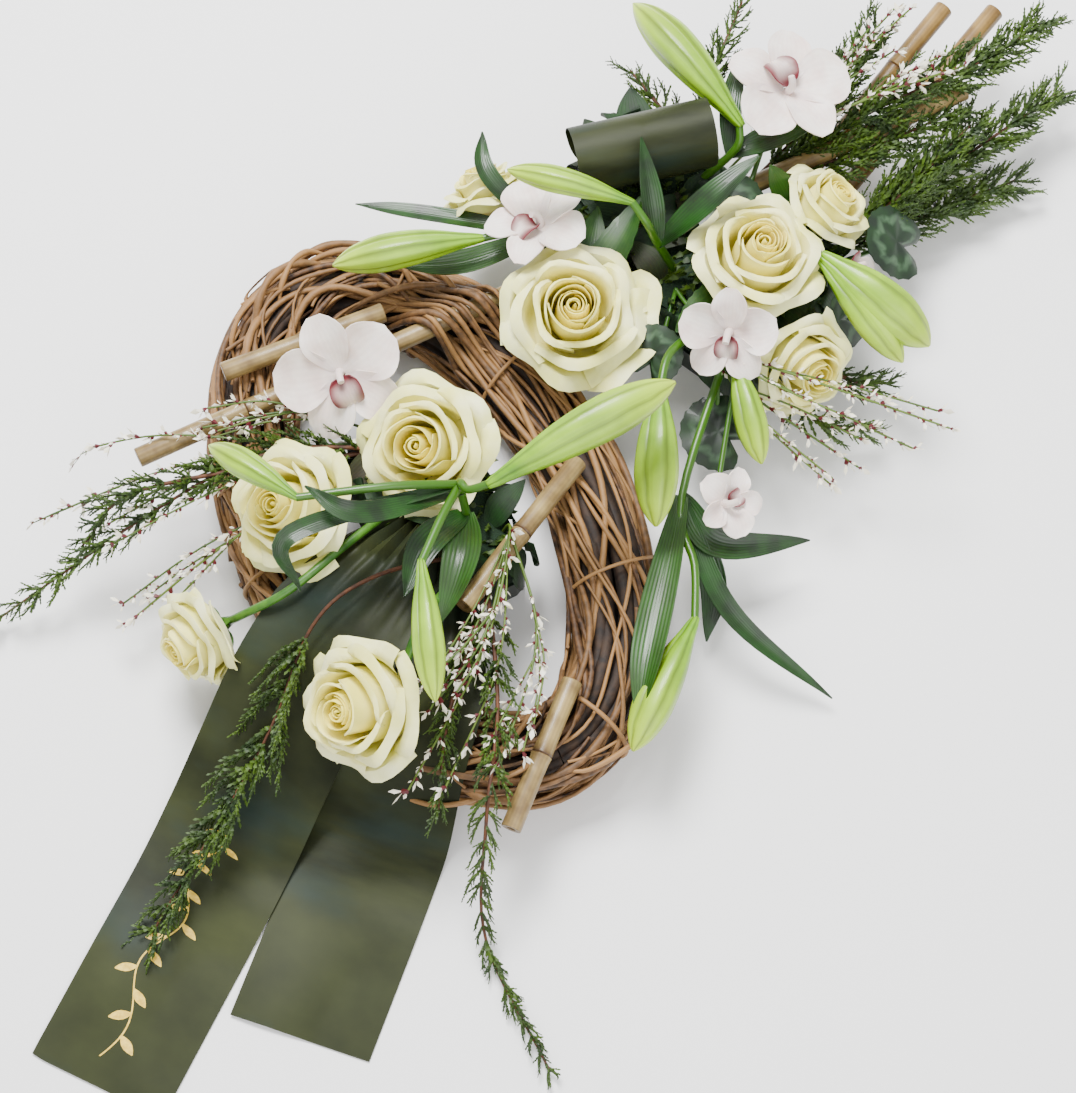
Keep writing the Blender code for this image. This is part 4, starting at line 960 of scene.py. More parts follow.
@dataclass
class Wreath:
    """The oval ring of wound vine."""

    centre: Point = (-12.0, 8.0, 0.0)
    long_half: float = 190.0
    short_half: float = 108.0
    turn: float = math.radians(-25.0)
    reach: float = 28.5
    height: float = 35.4
    strands: int = 56
    steps: int = 96

    def spot(self, angle: float, reach: float, lean: float) -> Vector:
        """Give a point off the centre line.

        Args:
            angle: The way round the oval.
            reach: The distance from the centre line.
            lean: Its direction: 0 is outward and a quarter turn is up.

        Returns:
            The point, in layout millimetres.
        """
        along = Vector((self.long_half * math.cos(angle), self.short_half * math.sin(angle), 0.0))
        out = Vector((self.short_half * math.cos(angle), self.long_half * math.sin(angle), 0.0)).normalized()
        flat = Matrix.Rotation(self.turn, 3, "Z") @ (along + out * (reach * math.cos(lean)))
        height = max(3.6, self.height + reach * math.sin(lean))
        return flat + Vector(self.centre) + UP * height

    def outer_strands(self, lines: Lines, draw: random.Random) -> None:
        """Wind the strands that show, each round most of the ring and over its neighbours."""
        for index in range(self.strands):
            lean = ROUND * index / self.strands + draw.uniform(-0.1, 0.1)
            first, span = draw.uniform(0, ROUND), draw.uniform(4.6, 6.6)
            twist = draw.choice((0.4, 0.9, 1.3, 1.8, 2.4)) * draw.choice((1, 1, 1, -0.5))
            slow, fast, rise = draw.uniform(0, 6), draw.uniform(0, 6), draw.uniform(0, 6)
            girth = draw.choice((1.1, 1.4, 1.7, 2.0, 2.4, 2.8))
            count = int(self.steps * span / ROUND) + 1
            path = []
            for share in shares(count):
                angle = first + span * share
                wander = 0.26 * math.sin(2 * angle + slow) + 0.12 * math.sin(7 * angle + fast)
                tuck = 8.0 * (max(0.0, 1 - share / 0.05) + max(0.0, (share - 0.95) / 0.05))
                depth = self.reach + 4.2 * math.sin(3 * angle + rise) - tuck
                path.append(self.spot(angle, depth, lean + twist * angle + wander))
            lines.add(path, self.girths(girth, count, draw), draw.random())

    def inner_strands(self, lines: Lines, draw: random.Random) -> None:
        """Fill the ring under the strands that show."""
        for index in range(14):
            lean = ROUND * index / 14
            slow = draw.uniform(0, 6)
            path = [self.spot(ROUND * step / 60, 18.0 + 2 * math.sin(5 * step / 9 + slow),
                              lean + 0.15 * math.sin(step / 7 + slow)) for step in range(61)]
            lines.add(path, [5.6] * len(path), 0.0)

    def loose_strands(self, lines: Lines) -> None:
        """Stand the six large loops out of the ring where the solid has them."""
        draw = random.Random(8)
        firsts, spans = (150, 172, 196, 120, 20, 330), (40, 34, 30, 26, 26, 24)
        for first, span, swell in zip(firsts, spans, (14, 18, 12, 10, 12, 14)):
            lean = draw.uniform(0.15, 1.2)
            knots = [self.spot(math.radians(first + span * s / 6),
                               self.reach - 4 + swell * math.sin(math.pi * s / 6), lean + 0.05 * s)
                     for s in range(7)]
            path = smooth_path(knots, 5)
            lines.add(path, self.girths(3.0, len(path), draw), draw.uniform(0.4, 1.0))

    def over_stick(self, lines: Lines, draw: random.Random) -> None:
        """Lay strands over the long stick, which runs under them at the ring's head side."""
        start, end = (Vector(point) for point in LONG_STICK)
        axis = (end - start).normalized()
        for index in range(13):
            across = -26 + 4.3 * index + draw.uniform(-1.5, 1.5)
            across = max(-27.5, min(27.5, across))
            first, last = draw.uniform(1.55, 1.75), draw.uniform(2.65, 2.9)
            girth, drift, phase = draw.uniform(1.5, 2.7), draw.uniform(-14, 14), draw.uniform(0, 6)
            path = []
            for share in shares(31):
                offset = across + drift * (share - 0.5) + 2.6 * math.sin(9 * share + phase)
                offset = max(-28.0, min(28.0, offset))
                rise = math.sqrt(self.reach ** 2 - offset ** 2) - 7 * abs(2 * share - 1) ** 6
                spot = self.spot(first + (last - first) * share, math.hypot(offset, rise),
                                 math.atan2(rise, offset))
                near = start + axis * (spot - start).dot(axis)
                gap = (spot - near).to_2d().length
                over = near.z + STICK_RADIUS + girth + 0.8 + 2.4 * (index % 3)
                spot.z += max(0.0, over - spot.z) * math.exp(-(gap / 20.0) ** 2)
                path.append(spot)
            lines.add(path, self.girths(girth, len(path), draw), draw.uniform(0.1, 1.0))

    def thin_loops(self, lines: Lines, draw: random.Random) -> None:
        """Stand thin kinked loops out of the ring at its upper left, and a few along its right."""
        for middle in (2.7, 2.85, 3.0, 3.15, 3.3, 3.5, 2.45, 2.2, 5.2, 5.6, 6.0, 0.3):
            half, swell = draw.uniform(0.16, 0.34), draw.uniform(9, 21)
            lean, drift = draw.uniform(-0.1, 1.1), draw.uniform(-0.5, 0.5)
            kinks = [(-1.0, -0.3), (-0.62, 0.45), (-0.2, 0.95), (0.25, 1.0), (0.7, 0.5), (1.0, -0.3)]
            path = [self.spot(middle + half * (at + draw.uniform(-0.08, 0.08)), self.reach + swell * rise,
                              lean + drift * at) for at, rise in kinks]
            path = smooth_path(path, 4)
            lines.add(path, self.girths(draw.uniform(1.6, 2.4), len(path), draw), draw.uniform(0.5, 1.0))

    def frayed_ends(self, lines: Lines, draw: random.Random) -> None:
        """Let thin ends and bindings stand off the ring all round."""
        for _ in range(60):
            first = draw.uniform(0, ROUND)
            lean = draw.uniform(-0.3, 2.6)
            span = math.radians(draw.uniform(9, 24))
            swell = draw.uniform(3, 9)
            drift = draw.uniform(-0.7, 0.7)
            path = [self.spot(first + span * s / 8, self.reach - 2 + swell * (s / 8) ** 1.5,
                              lean + drift * s / 8) for s in range(9)]
            lines.add(path, [draw.uniform(1.0, 1.7)] * len(path), draw.random())
        for _ in range(16):
            first = draw.uniform(0, ROUND)
            turns = draw.uniform(1.6, 3.2)
            drift = draw.uniform(-0.1, 0.1)
            start = draw.uniform(0, 6)
            path = [self.spot(first + drift * s / 14, self.reach + 4.6, start + turns * s / 14)
                    for s in range(15)]
            lines.add(path, [draw.uniform(1.2, 1.8)] * len(path), draw.uniform(0.3, 1.0))

    @staticmethod
    def girths(base: float, count: int, draw: random.Random) -> list[float]:
        """Give a strand's girth along it, a little uneven and thin at both ends."""
        phase = draw.uniform(0, 6)
        return [base * (1 + 0.1 * math.sin(i * 0.9 + phase)) * min(1.0, 0.55 + 0.09 * min(i, count - 1 - i))
                for i in range(count)]

    def build(self) -> None:
        """Build the wreath."""
        draw = random.Random(5)
        lines = Lines()
        self.outer_strands(lines, draw)
        self.loose_strands(lines)
        self.over_stick(lines, draw)
        self.thin_loops(lines, draw)
        self.frayed_ends(lines, draw)
        tubes(lines, "wreath_vines", VINE, "wreath", sides=7)
        core = Lines()
        self.inner_strands(core, draw)
        # The core takes the darker vine colour as painted shade under the outer strands.
        tubes(core, "wreath_core", VINE_SHADE, sides=6)


@dataclass
class BambooStick:
    """A bamboo stick with its joints and cut, hollow ends."""

    name: str
    start: Point
    end: Point
    finish: Finish = BAMBOO
    radius: float = STICK_RADIUS
    sides: int = 20

    def profile(self, length: float) -> list[tuple[float, float, float]]:
        """List the stations along the stick.

        Args:
            length: The stick's length in millimetres.

        Returns:
            The place, the share of the radius and the tint of each station.
        """
        # The hollow ends, from the cut face in, take a tint of 0.6, which brings in half of the dark accent:
        # painted shade for the hollows.
        hollow = ((3.5, 0.42), (0.4, 0.46), (0.0, 0.6), (0.0, 0.9))
        swell = ((-14, 0.925, 0.0), (-5, 0.93, 0.1), (-2.4, 0.985, 0.35), (-0.9, 1.0, 0.1),
                 (-0.1, 0.9, 1.0), (0.8, 0.985, 0.8), (3.0, 0.95, 0.35), (10, 0.925, 0.0))
        stations = [(at, share, 0.6) for at, share in hollow] + [(0.8, 0.95, 0.25)]
        spacing = length / max(1, round(length / 150.0))
        joint = spacing * 0.5
        while joint < length - 12:
            stations += [(joint + at, share, tint) for at, share, tint in swell]
            joint += spacing
        stations.append((length - 0.8, 0.95, 0.25))
        stations += [(length - at, share, 0.6) for at, share in reversed(hollow)]
        return stations

    def build(self) -> None:
        """Build the stick."""
        start, end = Vector(self.start), Vector(self.end)
        length = (end - start).length
        axis = (end - start).normalized()
        place = standing(axis, start)
        rings, tints = [], []
        for at, share, tint in self.profile(length):
            rings.append([place @ polar(ROUND * k / self.sides, self.radius * share, at)
                          for k in range(self.sides)])
            tints += [tint] * self.sides
        mesher = Mesher()
        mesher.loft(rings)
        # The floors of the two hollow ends take the full dark accent: painted shade.
        mesher.tints = tints + [1.0, 1.0]
        mesher.dress(self.name + "_cane", self.finish, self.name, smooth=35.0)


@dataclass
class Ribbon:
    """The satin ribbon: a rolled loop and two tails, each a strip of one width."""

    width: float = 100.0
    thickness: float = 0.4
    columns: int = 25
    pleats: int = 6

    def row(self, centre: Vector, direction: Vector, normal: Vector, share: float,
            wave: float) -> list[Vector]:
        """Lay one row across the ribbon; a narrow row is gathered into pleats.

        Args:
            centre: The row's middle.
            direction: The way across.
            normal: The way that pleats stand out.
            share: The row's width as a share of the ribbon's.
            wave: The height of the ribbon's soft wave here.

        Returns:
            The row's points.
        """
        shown = self.width * min(1.0, max(0.26, share))
        spare = math.sqrt(max(0.0, self.width ** 2 - shown ** 2))
        row = []
        for part in shares(self.columns):
            fold = spare / (4 * self.pleats) * math.sin(ROUND * self.pleats * part)
            lift = wave * math.sin(math.pi * part * 1.6 + 0.4)
            row.append(centre + direction * ((part - 0.5) * shown) + normal * (fold + lift))
        return row

    def strip(self, knots: list[tuple[Vector, Vector, float]], steps: int, waves: float,
              floor: float) -> Grid:
        """Run a strip through its knots.

        Args:
            knots: Middle, way across and width share at each knot.
            steps: Rows between each two knots.
            waves: The height of the soft waves.
            floor: The lowest height that the ribbon may have.

        Returns:
            The strip's rows.
        """
        centres = smooth_path([knot[0] for knot in knots], steps)
        ways = smooth_path([knot[1] for knot in knots], steps)
        shares = smooth_path([(knot[2], 0, 0) for knot in knots], steps)
        frames = path_frames(centres)
        rows = []
        for i, (centre, way, share) in enumerate(zip(centres, ways, shares)):
            direction = way.normalized()
            normal = frames[i][0].cross(direction).normalized()
            normal = normal if normal.z >= 0 or abs(normal.z) < 0.3 else -normal
            wave = waves * (0.5 + 0.5 * math.sin(0.37 * i))
            row = self.row(centre, direction, normal, share.x, wave)
            rows.append(above(row, floor))
        return rows

    def tail(self, name: str, points: tuple, way: Point, over: range, lift: float, printed: bool) -> None:
        """Build one tail.

        Args:
            name: The CAD node's name.
            points: Knots with their width share.
            way: The way across.
            over: Which knots lie over the ring.
            lift: How far these are raised.
            printed: Whether it carries the gold ornament.
        """
        knots = [(Vector((x, y, z + (lift if index in over else 0.0))), Vector(way), share)
                 for index, (x, y, z, share) in enumerate(points)]
        rows = self.strip(knots, 9, 2.2, 0.7)
        mesher = Mesher()
        mesher.sheet(rows, self.thickness)
        piece = mesher.dress(name + "_satin", SATIN, name, smooth=80.0)
        [self.ornament(rows)] if printed else []

    def ornament(self, rows: Grid) -> Piece:
        """Lay a gold leaf vine along the lower part of a tail.

        Args:
            rows: The tail's rows.

        Returns:
            The ornament.
        """
        mesher = Mesher()
        first, last = int(len(rows) * 0.66), len(rows) - 3

        def spot(share: float, across: float) -> Vector:
            """Give a point on the ribbon's top."""
            place = first + (last - first) * share
            index = min(int(place), last - 1)
            row = [a.lerp(b, place - index) for a, b in zip(rows[index], rows[index + 1])]
            return at_share(row, across) + UP * 0.45

        def stem_line(share: float) -> float:
            """Give the vine's place across the ribbon."""
            return 0.42 + 0.07 * math.sin(share * 5 * math.pi)

        mesher.sheet([[spot(share, stem_line(share) + edge) for edge in (-0.006, 0.006)]
                      for share in shares(60)], 0.15)
        for index in range(14):
            share = 0.04 + index * 0.068
            side = 1 if index % 2 else -1
            root = stem_line(share)
            leaf = []
            for part in shares(6):
                half = 0.022 * math.sin(math.pi * (0.06 + 0.9 * part))
                middle = (share + 0.036 * part, root + side * 0.13 * part)
                leaf.append([spot(middle[0] - half * 0.5, middle[1] + side * half),
                             spot(middle[0] + half * 0.5, middle[1] - side * half)])
            mesher.sheet(leaf, 0.15)
        return mesher.dress("ribbon_ornament", GOLD, smooth=30.0)

    def build(self) -> None:
        """Build the loop and both tails."""
        left = ((-10, 0, 44, 0.26), (-8, -6, 76, 0.26), (-2, -46, 86, 0.75), (-2, -100, 84, 1.0),
                (2, -150, 70, 1.0), (8, -200, 34, 1.0), (15, -246, 10, 1.0), (25, -292, 3, 1.0),
                (38, -356, 1.4, 1.0), (55, -438, 1.2, 1.0))
        right = ((14, -14, 44, 0.26), (18, -20, 72, 0.26), (40, -56, 78, 0.75), (64, -104, 76, 1.0),
                 (80, -146, 58, 1.0), (94, -182, 12, 1.0), (102, -206, 2.4, 1.0), (114, -242, 1.3, 1.0),
                 (142, -329, 1.2, 1.0))
        self.tail("ribbon_tail_right", right, (0.943, 0.333, 0.0), range(2, 5), 3.0, False)
        self.tail("ribbon_tail_left", left, (0.975, 0.22, 0.0), range(2, 6), 5.5, True)
        middle, side = Vector((-50.0, 298.0, 0.0)), Vector((0.772, -0.636, 0.0))
        way = Vector((0.636, 0.772, 0.05))
        shape = ((-1.6, 44, 0.26), (-1.8, 74, 0.3), (-14, 96, 0.85), (-24, 122, 1.0), (-14, 144, 1.0),
                 (4, 151, 1.0), (20, 141, 1.0), (24, 118, 1.0), (13, 96, 0.85), (1.8, 74, 0.3),
                 (1.6, 44, 0.26))
        knots = [(middle + side * across + UP * rise, way, share) for across, rise, share in shape]
        rows = self.strip(knots, 8, 0.0, 0.7)
        mesher = Mesher()
        mesher.sheet(rows, self.thickness)
        piece = mesher.dress("ribbon_loop_satin", SATIN, "ribbon_loop", smooth=80.0)


FOAM_TOP = 70.0
ROOT_DEPTH = 34.0


def stem_way(root: tuple[float, float], knots: list[Vector], steps: int = 6) -> list[Vector]:
    """Give a stem's way: straight up out of its hole in the foam, then through the knots."""
    bottom = Vector((*root, FOAM_TOP - ROOT_DEPTH))
    mouth = Vector((*root, FOAM_TOP + 5))
    return [bottom, bottom.lerp(mouth, 0.5)] + smooth_path([mouth] + knots, steps)


def lance_rows(way: list, width: float, columns: int = 6, steps: int = 7, fold: float = 0.16,
               seed: int = 0) -> Grid:
    """Make the grid of a lance-shaped leaf along a way.

    Args:
        way: The leaf's knots from its base to its tip.
        width: Its greatest width.
        columns: Faces across.
        steps: Rows between each two knots.
        fold: How deep its channel is, as a share of its width.
        seed: The seed of its wave and twist.

    Returns:
        The grid's rows.
    """
    draw = random.Random(seed)
    twist, phase = draw.uniform(-0.5, 0.5), draw.uniform(0, 6)
    path = smooth_path(way, steps)
    rows = []
    for i, ((tangent, side, _), centre) in enumerate(zip(path_frames(path), path)):
        share = i / (len(path) - 1)
        flat = tangent.cross(UP)
        across = flat.normalized() if flat.length > 0.2 else side
        across = Matrix.Rotation(twist * share, 3, tangent) @ across
        normal = across.cross(tangent).normalized()
        half = max(0.5, width / 2 * math.sin(math.pi * min(1.0, 0.1 + 0.9 * share)) ** 0.8)
        row = []
        for part in halves(columns):
            rise = fold * width * (abs(part) ** 1.3 - 0.4) * (half / (width / 2))
            wave = 0.03 * width * math.sin(9 * share + phase + part) * abs(part)
            row.append(centre + across * (half * part) + normal * (rise + wave))
        rows.append(row)
    return rows


@dataclass(frozen=True)
class PetalLayer:
    """One layer of a rose: shares of the bloom's radius and height, and angles in degrees."""

    count: int
    base: float
    belly: tuple[float, float]
    rim: tuple[float, float]
    curl: tuple[float, float]
    arc: float
    roll: float
    tint: float


ROSE_LAYERS = (
    PetalLayer(2, 0.03, (0.09, 0.55), (0.06, 0.92), (0.02, 0.95), 250, 0.0, 1.0),
    PetalLayer(3, 0.04, (0.15, 0.54), (0.12, 0.93), (0.09, 0.97), 215, 0.0, 1.0),
    PetalLayer(3, 0.05, (0.22, 0.53), (0.18, 0.95), (0.16, 0.99), 195, 0.01, 0.95),
    PetalLayer(3, 0.06, (0.3, 0.52), (0.26, 0.97), (0.26, 1.0), 180, 0.02, 0.8),
    PetalLayer(3, 0.07, (0.42, 0.5), (0.38, 0.96), (0.42, 0.99), 170, 0.06, 0.5),
    PetalLayer(3, 0.09, (0.57, 0.44), (0.57, 0.86), (0.67, 0.88), 152, 0.13, 0.25),
    PetalLayer(4, 0.11, (0.7, 0.35), (0.76, 0.7), (0.92, 0.68), 126, 0.18, 0.1),
    PetalLayer(4, 0.12, (0.76, 0.28), (0.92, 0.54), (1.08, 0.47), 112, 0.22, 0.0),
)


@dataclass
class Rose:
    """A rose with its bloom, calyx, stem and leaves.

    Attributes:
        heart: The bloom's middle, which faces the way of faces and is as wide as size.
        root: Where the stem stands in the foam; it passes the knots of via.
        leaves: Base, tip and width of each leaf.
        loose: Angle in degrees of each open guard petal.
    """

    name: str
    heart: Point
    faces: Point
    size: float
    root: tuple[float, float]
    via: tuple = ()
    leaves: tuple = ()
    loose: tuple = ()

    def petal(self, layer: PetalLayer, angle: float, draw: random.Random) -> Grid:
        """Make one petal's grid, with its rim rolled back at the corners."""
        radius, height = self.size / 2, self.size * 0.62
        lean = draw.uniform(-0.05, 0.05)
        lift = draw.uniform(-0.07, 0.03)
        phase = draw.uniform(0, 6)
        point = draw.uniform(0.1, 0.7) * layer.roll
        knots = [(layer.base, 0.03, 0), (layer.base + 0.8 * (layer.belly[0] - layer.base), 0.17, 0),
                 (*layer.belly, 0), (*layer.rim, 0), (*layer.curl, 0)]
        shape = smooth_path(knots, 4)
        half = math.radians(layer.arc / 2) * draw.uniform(0.94, 1.06)
        rows = []
        for share in shares(10):
            spread = 0.58 + 0.42 * math.sin(math.pi * min(1.0, 0.1 + share * 0.62))
            row = []
            for part in halves(12):
                reach = share * (1 - 0.26 * abs(part) ** 2.4 - point * (1 - abs(part)) ** 0.5 + point)
                spot = at_share(shape, reach)
                roll = layer.roll * abs(part) ** 1.5 * max(0.0, (share - 0.5) / 0.5) ** 2
                wave = 0.28 * layer.roll * math.sin(5.5 * part + phase) * share ** 3
                spiral = 0.05 * part * min(1.0, 3 * spot.x)
                out = radius * (spot.x + lean * spot.y + roll * 0.8 + spiral + wave)
                rise = height * (spot.y + lift * share - 0.7 * roll + wave)
                row.append(polar(angle + part * half * spread, out, rise))
            rows.append(row)
        return rows

    def bloom(self, place: Matrix, seed: int) -> None:
        """Build the bloom from its layers of petals; each is yellower towards its base."""
        draw = random.Random(seed)
        mesher = Mesher()
        start = draw.uniform(0, 6)

        def warmth(amount: float) -> Callable[[float, float], float]:
            """Give a petal's tint: its own amount, and more towards its base."""
            return lambda across, along: min(1.0, amount * 0.8 + 0.35 * (1.0 - along))

        for number, layer in enumerate(ROSE_LAYERS):
            for k in range(layer.count):
                angle = start + number * 0.9 + ROUND * k / layer.count + draw.uniform(-0.16, 0.16)
                mesher.sheet(self.petal(layer, angle, draw), 0.45, warmth(layer.tint), place)
        guard = PetalLayer(1, 0.12, (0.84, 0.2), (1.14, 0.4), (1.34, 0.46), 78, 0.14, 0.0)
        for degrees in self.loose:
            mesher.sheet(self.petal(guard, math.radians(degrees), draw), 0.5, 0.0, place)
        mesher.dress(self.name + "_bloom", ROSE, self.name)

    def green(self, place: Matrix, base: Vector, axis: Vector) -> None:
        """Build the stem, the calyx with its sepals, and the leaves."""
        neck = base - axis * 7.35
        if self.via:
            path = stem_way(self.root, [Vector(k) for k in self.via] + [neck])
        elif (base - axis * 24).z > FOAM_TOP + 8:
            path = stem_way(self.root, [base - axis * 24, neck])
        else:
            path = smooth_path([Vector((*self.root, FOAM_TOP - ROOT_DEPTH)), neck], 8)
        path += [neck.lerp(base, 0.5), base]
        girths = [3.0] * (len(path) - 3) + [3.6, self.size * 0.075, self.size * 0.1]
        lines = Lines()
        lines.add(path, girths, 0.0)
        tubes(lines, self.name + "_stalk", ROSE_GREEN, self.name + "_stem", sides=10)
        mesher = Mesher()
        for k in range(5):
            out = polar(ROUND * k / 5)
            reach = self.size * 0.3
            way = [place @ (out * 2.0 + UP * -1.0), place @ (out * (reach * 0.6) + UP * 1.0),
                   place @ (out * reach + UP * (-4.0 if k % 2 else 5.0))]
            mesher.sheet(lance_rows(way, self.size * 0.09, 2, 3, 0.1, k), 0.5, 0.4)
        for index, (start, tip, width) in enumerate(self.leaves):
            start, tip = Vector(start), Vector(tip)
            rows = lance_rows([start, start.lerp(tip, 0.5) + UP * 3, tip], width * 1.1, 8, 9, 0.12, index)
            for i, row in enumerate(rows):
                saw = 1.0 + 0.07 * (i % 2)
                middle = row[len(row) // 2]
                for j in (0, len(row) - 1):
                    row[j] = middle + (row[j] - middle) * saw
            mesher.sheet(rows, 0.5, 0.9)
        mesher.dress(self.name + "_leaves", ROSE_GREEN, smooth=50.0)

    def build(self, seed: int) -> None:
        """Build the rose."""
        axis = Vector(self.faces).normalized()
        base = Vector(self.heart) - axis * (0.56 * self.size)
        place = standing(axis, base)
        self.bloom(place, seed)
        self.green(place, base, axis)


@dataclass
class Lily:
    """A lily stem with its buds and leaves.

    Attributes:
        root: Where the stem stands in the foam.
        hub: Where the stalks part.
        buds: The stalk's knots, the base, the tip and the width of each bud.
        leaves: The way and the width of each leaf.
        move: How far all but the root is moved.
    """

    name: str
    root: tuple[float, float]
    hub: Point
    buds: tuple
    leaves: tuple = ()
    move: Point = (0.0, 0.0, 0.0)

    def moved(self, point: Point) -> Vector:
        """Move one of the stem's points to its place."""
        return Vector(point) + Vector(self.move)

    def bud(self, mesher: Mesher, base: Vector, tip: Vector, width: float) -> None:
        """Add one ribbed bud.

        Args:
            mesher: What collects the solids.
            base: The bud's base.
            tip: The bud's tip.
            width: Its greatest width.
        """
        shape = smooth_path([(0.0, 0.2, 0), (0.05, 0.3, 0), (0.16, 0.46, 0), (0.4, 0.86, 0),
                             (0.66, 1.0, 0), (0.84, 0.76, 0), (0.94, 0.42, 0), (1.0, 0.07, 0)], 4)
        sag = (tip - base).length * 0.05
        path = []
        for station in shape:
            along = max(0.0, station.x)
            path.append(base.lerp(tip, along) + UP * (sag * math.sin(math.pi * min(1.0, along))))
        rings, sides = [], 36
        for (_, side, up), centre, spot in zip(path_frames(path), path, shape):
            reach = width / 2 * max(0.05, spot.y)
            ring = []
            for k in range(sides):
                angle = ROUND * k / sides
                ridge = 0.95 + 0.07 * math.cos(3 * angle)
                groove = 1.0 - 0.1 * max(0.0, math.cos(6 * angle)) ** 4
                out = side * math.cos(angle) + up * math.sin(angle)
                ring.append(centre + out * (reach * ridge * groove))
            rings.append(ring)
        mesher.loft(rings)

    def build(self, seed: int) -> None:
        """Build the lily."""
        hub = self.moved(self.hub)
        main = stem_way(self.root, [hub])
        lines = Lines()
        buds, leaves = Mesher(), Mesher()
        for number, (way, base, tip, width) in enumerate(self.buds):
            knots = [self.moved(knot) for knot in way]
            base, tip = self.moved(base), self.moved(tip)
            knots = [hub] + knots + [base + (tip - base) * 0.02]
            path = smooth_path(knots, 6) if number else stem_way(self.root, knots)
            lines.add(path, [3.2 - 0.4 * i / len(path) for i in range(len(path))], 0.6)
            self.bud(buds, base, tip, width)
        for index, (way, width) in enumerate(self.leaves):
            knots = [self.moved(knot) for knot in way]
            knots[0] = min(main[1:], key=lambda p: (p - knots[0]).length)
            leaves.sheet(lance_rows(knots, width, 6, 9, 0.16, seed + index), 0.6, 0.15 * (index % 3))
        tubes(lines, self.name + "_stalks", LILY_GREEN, self.name, sides=10)
        buds.dress(self.name + "_buds", LILY_BUD, smooth=80.0)
        if self.leaves:
            leaves.dress(self.name + "_leaves", LILY_GREEN)


@dataclass
class Orchid:
    """An orchid bloom on its stem.

    Attributes:
        middle: The bloom's middle, which faces the way of faces and is as wide as size.
        root: Where its stem stands in the foam.
        roll: Its turn about the way that it faces.
    """

    name: str
    middle: Point
    faces: Point
    size: float
    root: tuple[float, float]
    roll: float
    tepals: int = 5

    def tepal(self, index: int) -> Grid:
        """Make one tepal's grid."""
        length = self.size / 2
        width = length * (0.98 if index in (1, 4) else 0.72)
        out = polar(math.pi / 2 + index * ROUND / 5)
        across = Vector((-out.y, out.x, 0.0))
        rows = []
        for share in shares(12):
            half = width / 2 * max(0.2, math.sin(math.pi * (0.04 + 0.92 * share ** 1.25)) ** 0.6)
            rise = 4.5 * math.sin(math.pi * share * 0.9) + (9.0 if index in (0, 1) else 3.0) * share ** 1.5
            row = []
            for part in halves(8):
                cup = (5.5 if index in (0, 1, 4) else 3.5) * part * part * math.sin(math.pi * share)
                ripple = 0.9 * math.sin(11 * share + index + 2 * part) * abs(part) ** 2
                middle = out * (length * (0.06 + 0.94 * share))
                row.append(middle + across * (half * part) + UP * (rise + cup + ripple))
            rows.append(row)
        return rows

    def lip(self) -> Grid:
        """Make the grid of the ruffled lip."""
        scale = self.size / 80
        path = smooth_path([(0, -1, 3), (0, -5, 7), (0, -11, 10), (0, -17, 8), (0, -20, 3)], 4)
        rows = []
        for share, centre in zip(shares(len(path)), path):
            half = 3.0 + 7.0 * math.sin(math.pi * (0.1 + 0.84 * share)) ** 0.8
            row = []
            for part in halves(10):
                wall = 7.0 * (1 - share) * part * part
                frill = 1.8 * share * math.sin(9 * part + 2) * abs(part)
                row.append((centre + Vector((half * part, 0.0, wall + frill))) * scale)
            rows.append(row)
        return rows

    def build(self) -> None:
        """Build the orchid."""
        axis = Vector(self.faces).normalized()
        middle = Vector(self.middle)
        place = standing(axis, middle, self.roll)
        mesher = Mesher()
        for index in range(self.tepals):
            mesher.sheet(self.tepal(index), 0.8, lambda across, along: 0.1 * (1.0 - along) ** 4, place)
        mesher.sheet(self.lip(), 0.8, lambda across, along: 0.15 + 0.85 * min(1.0, max(
            1.3 - 2.0 * along, abs(across - 0.5) * 2.8 - 0.3)), place)
        column = smooth_path([(0, 1, -1), (0, 2.5, 6), (0, 1, 12), (0, -3, 16)], 4)
        rings = []
        for i, ((_, side, up), centre) in enumerate(zip(path_frames(column), column)):
            reach = 3.2 * (1.0 - 0.3 * i / len(column))
            ways = [(math.cos(k * math.pi / 5), math.sin(k * math.pi / 5)) for k in range(10)]
            rings.append([place @ (centre + (side * x + up * y) * reach) for x, y in ways])
        mesher.loft(rings, 0.16)
        mesher.dress(self.name + "_bloom", ORCHID, self.name)
        lines = Lines()
        path = stem_way(self.root, [middle - axis * 18, middle - axis * 1])
        lines.add(path, [2.0] * len(path), 0.6)
        tubes(lines, self.name + "_stalk", LILY_GREEN, sides=8)


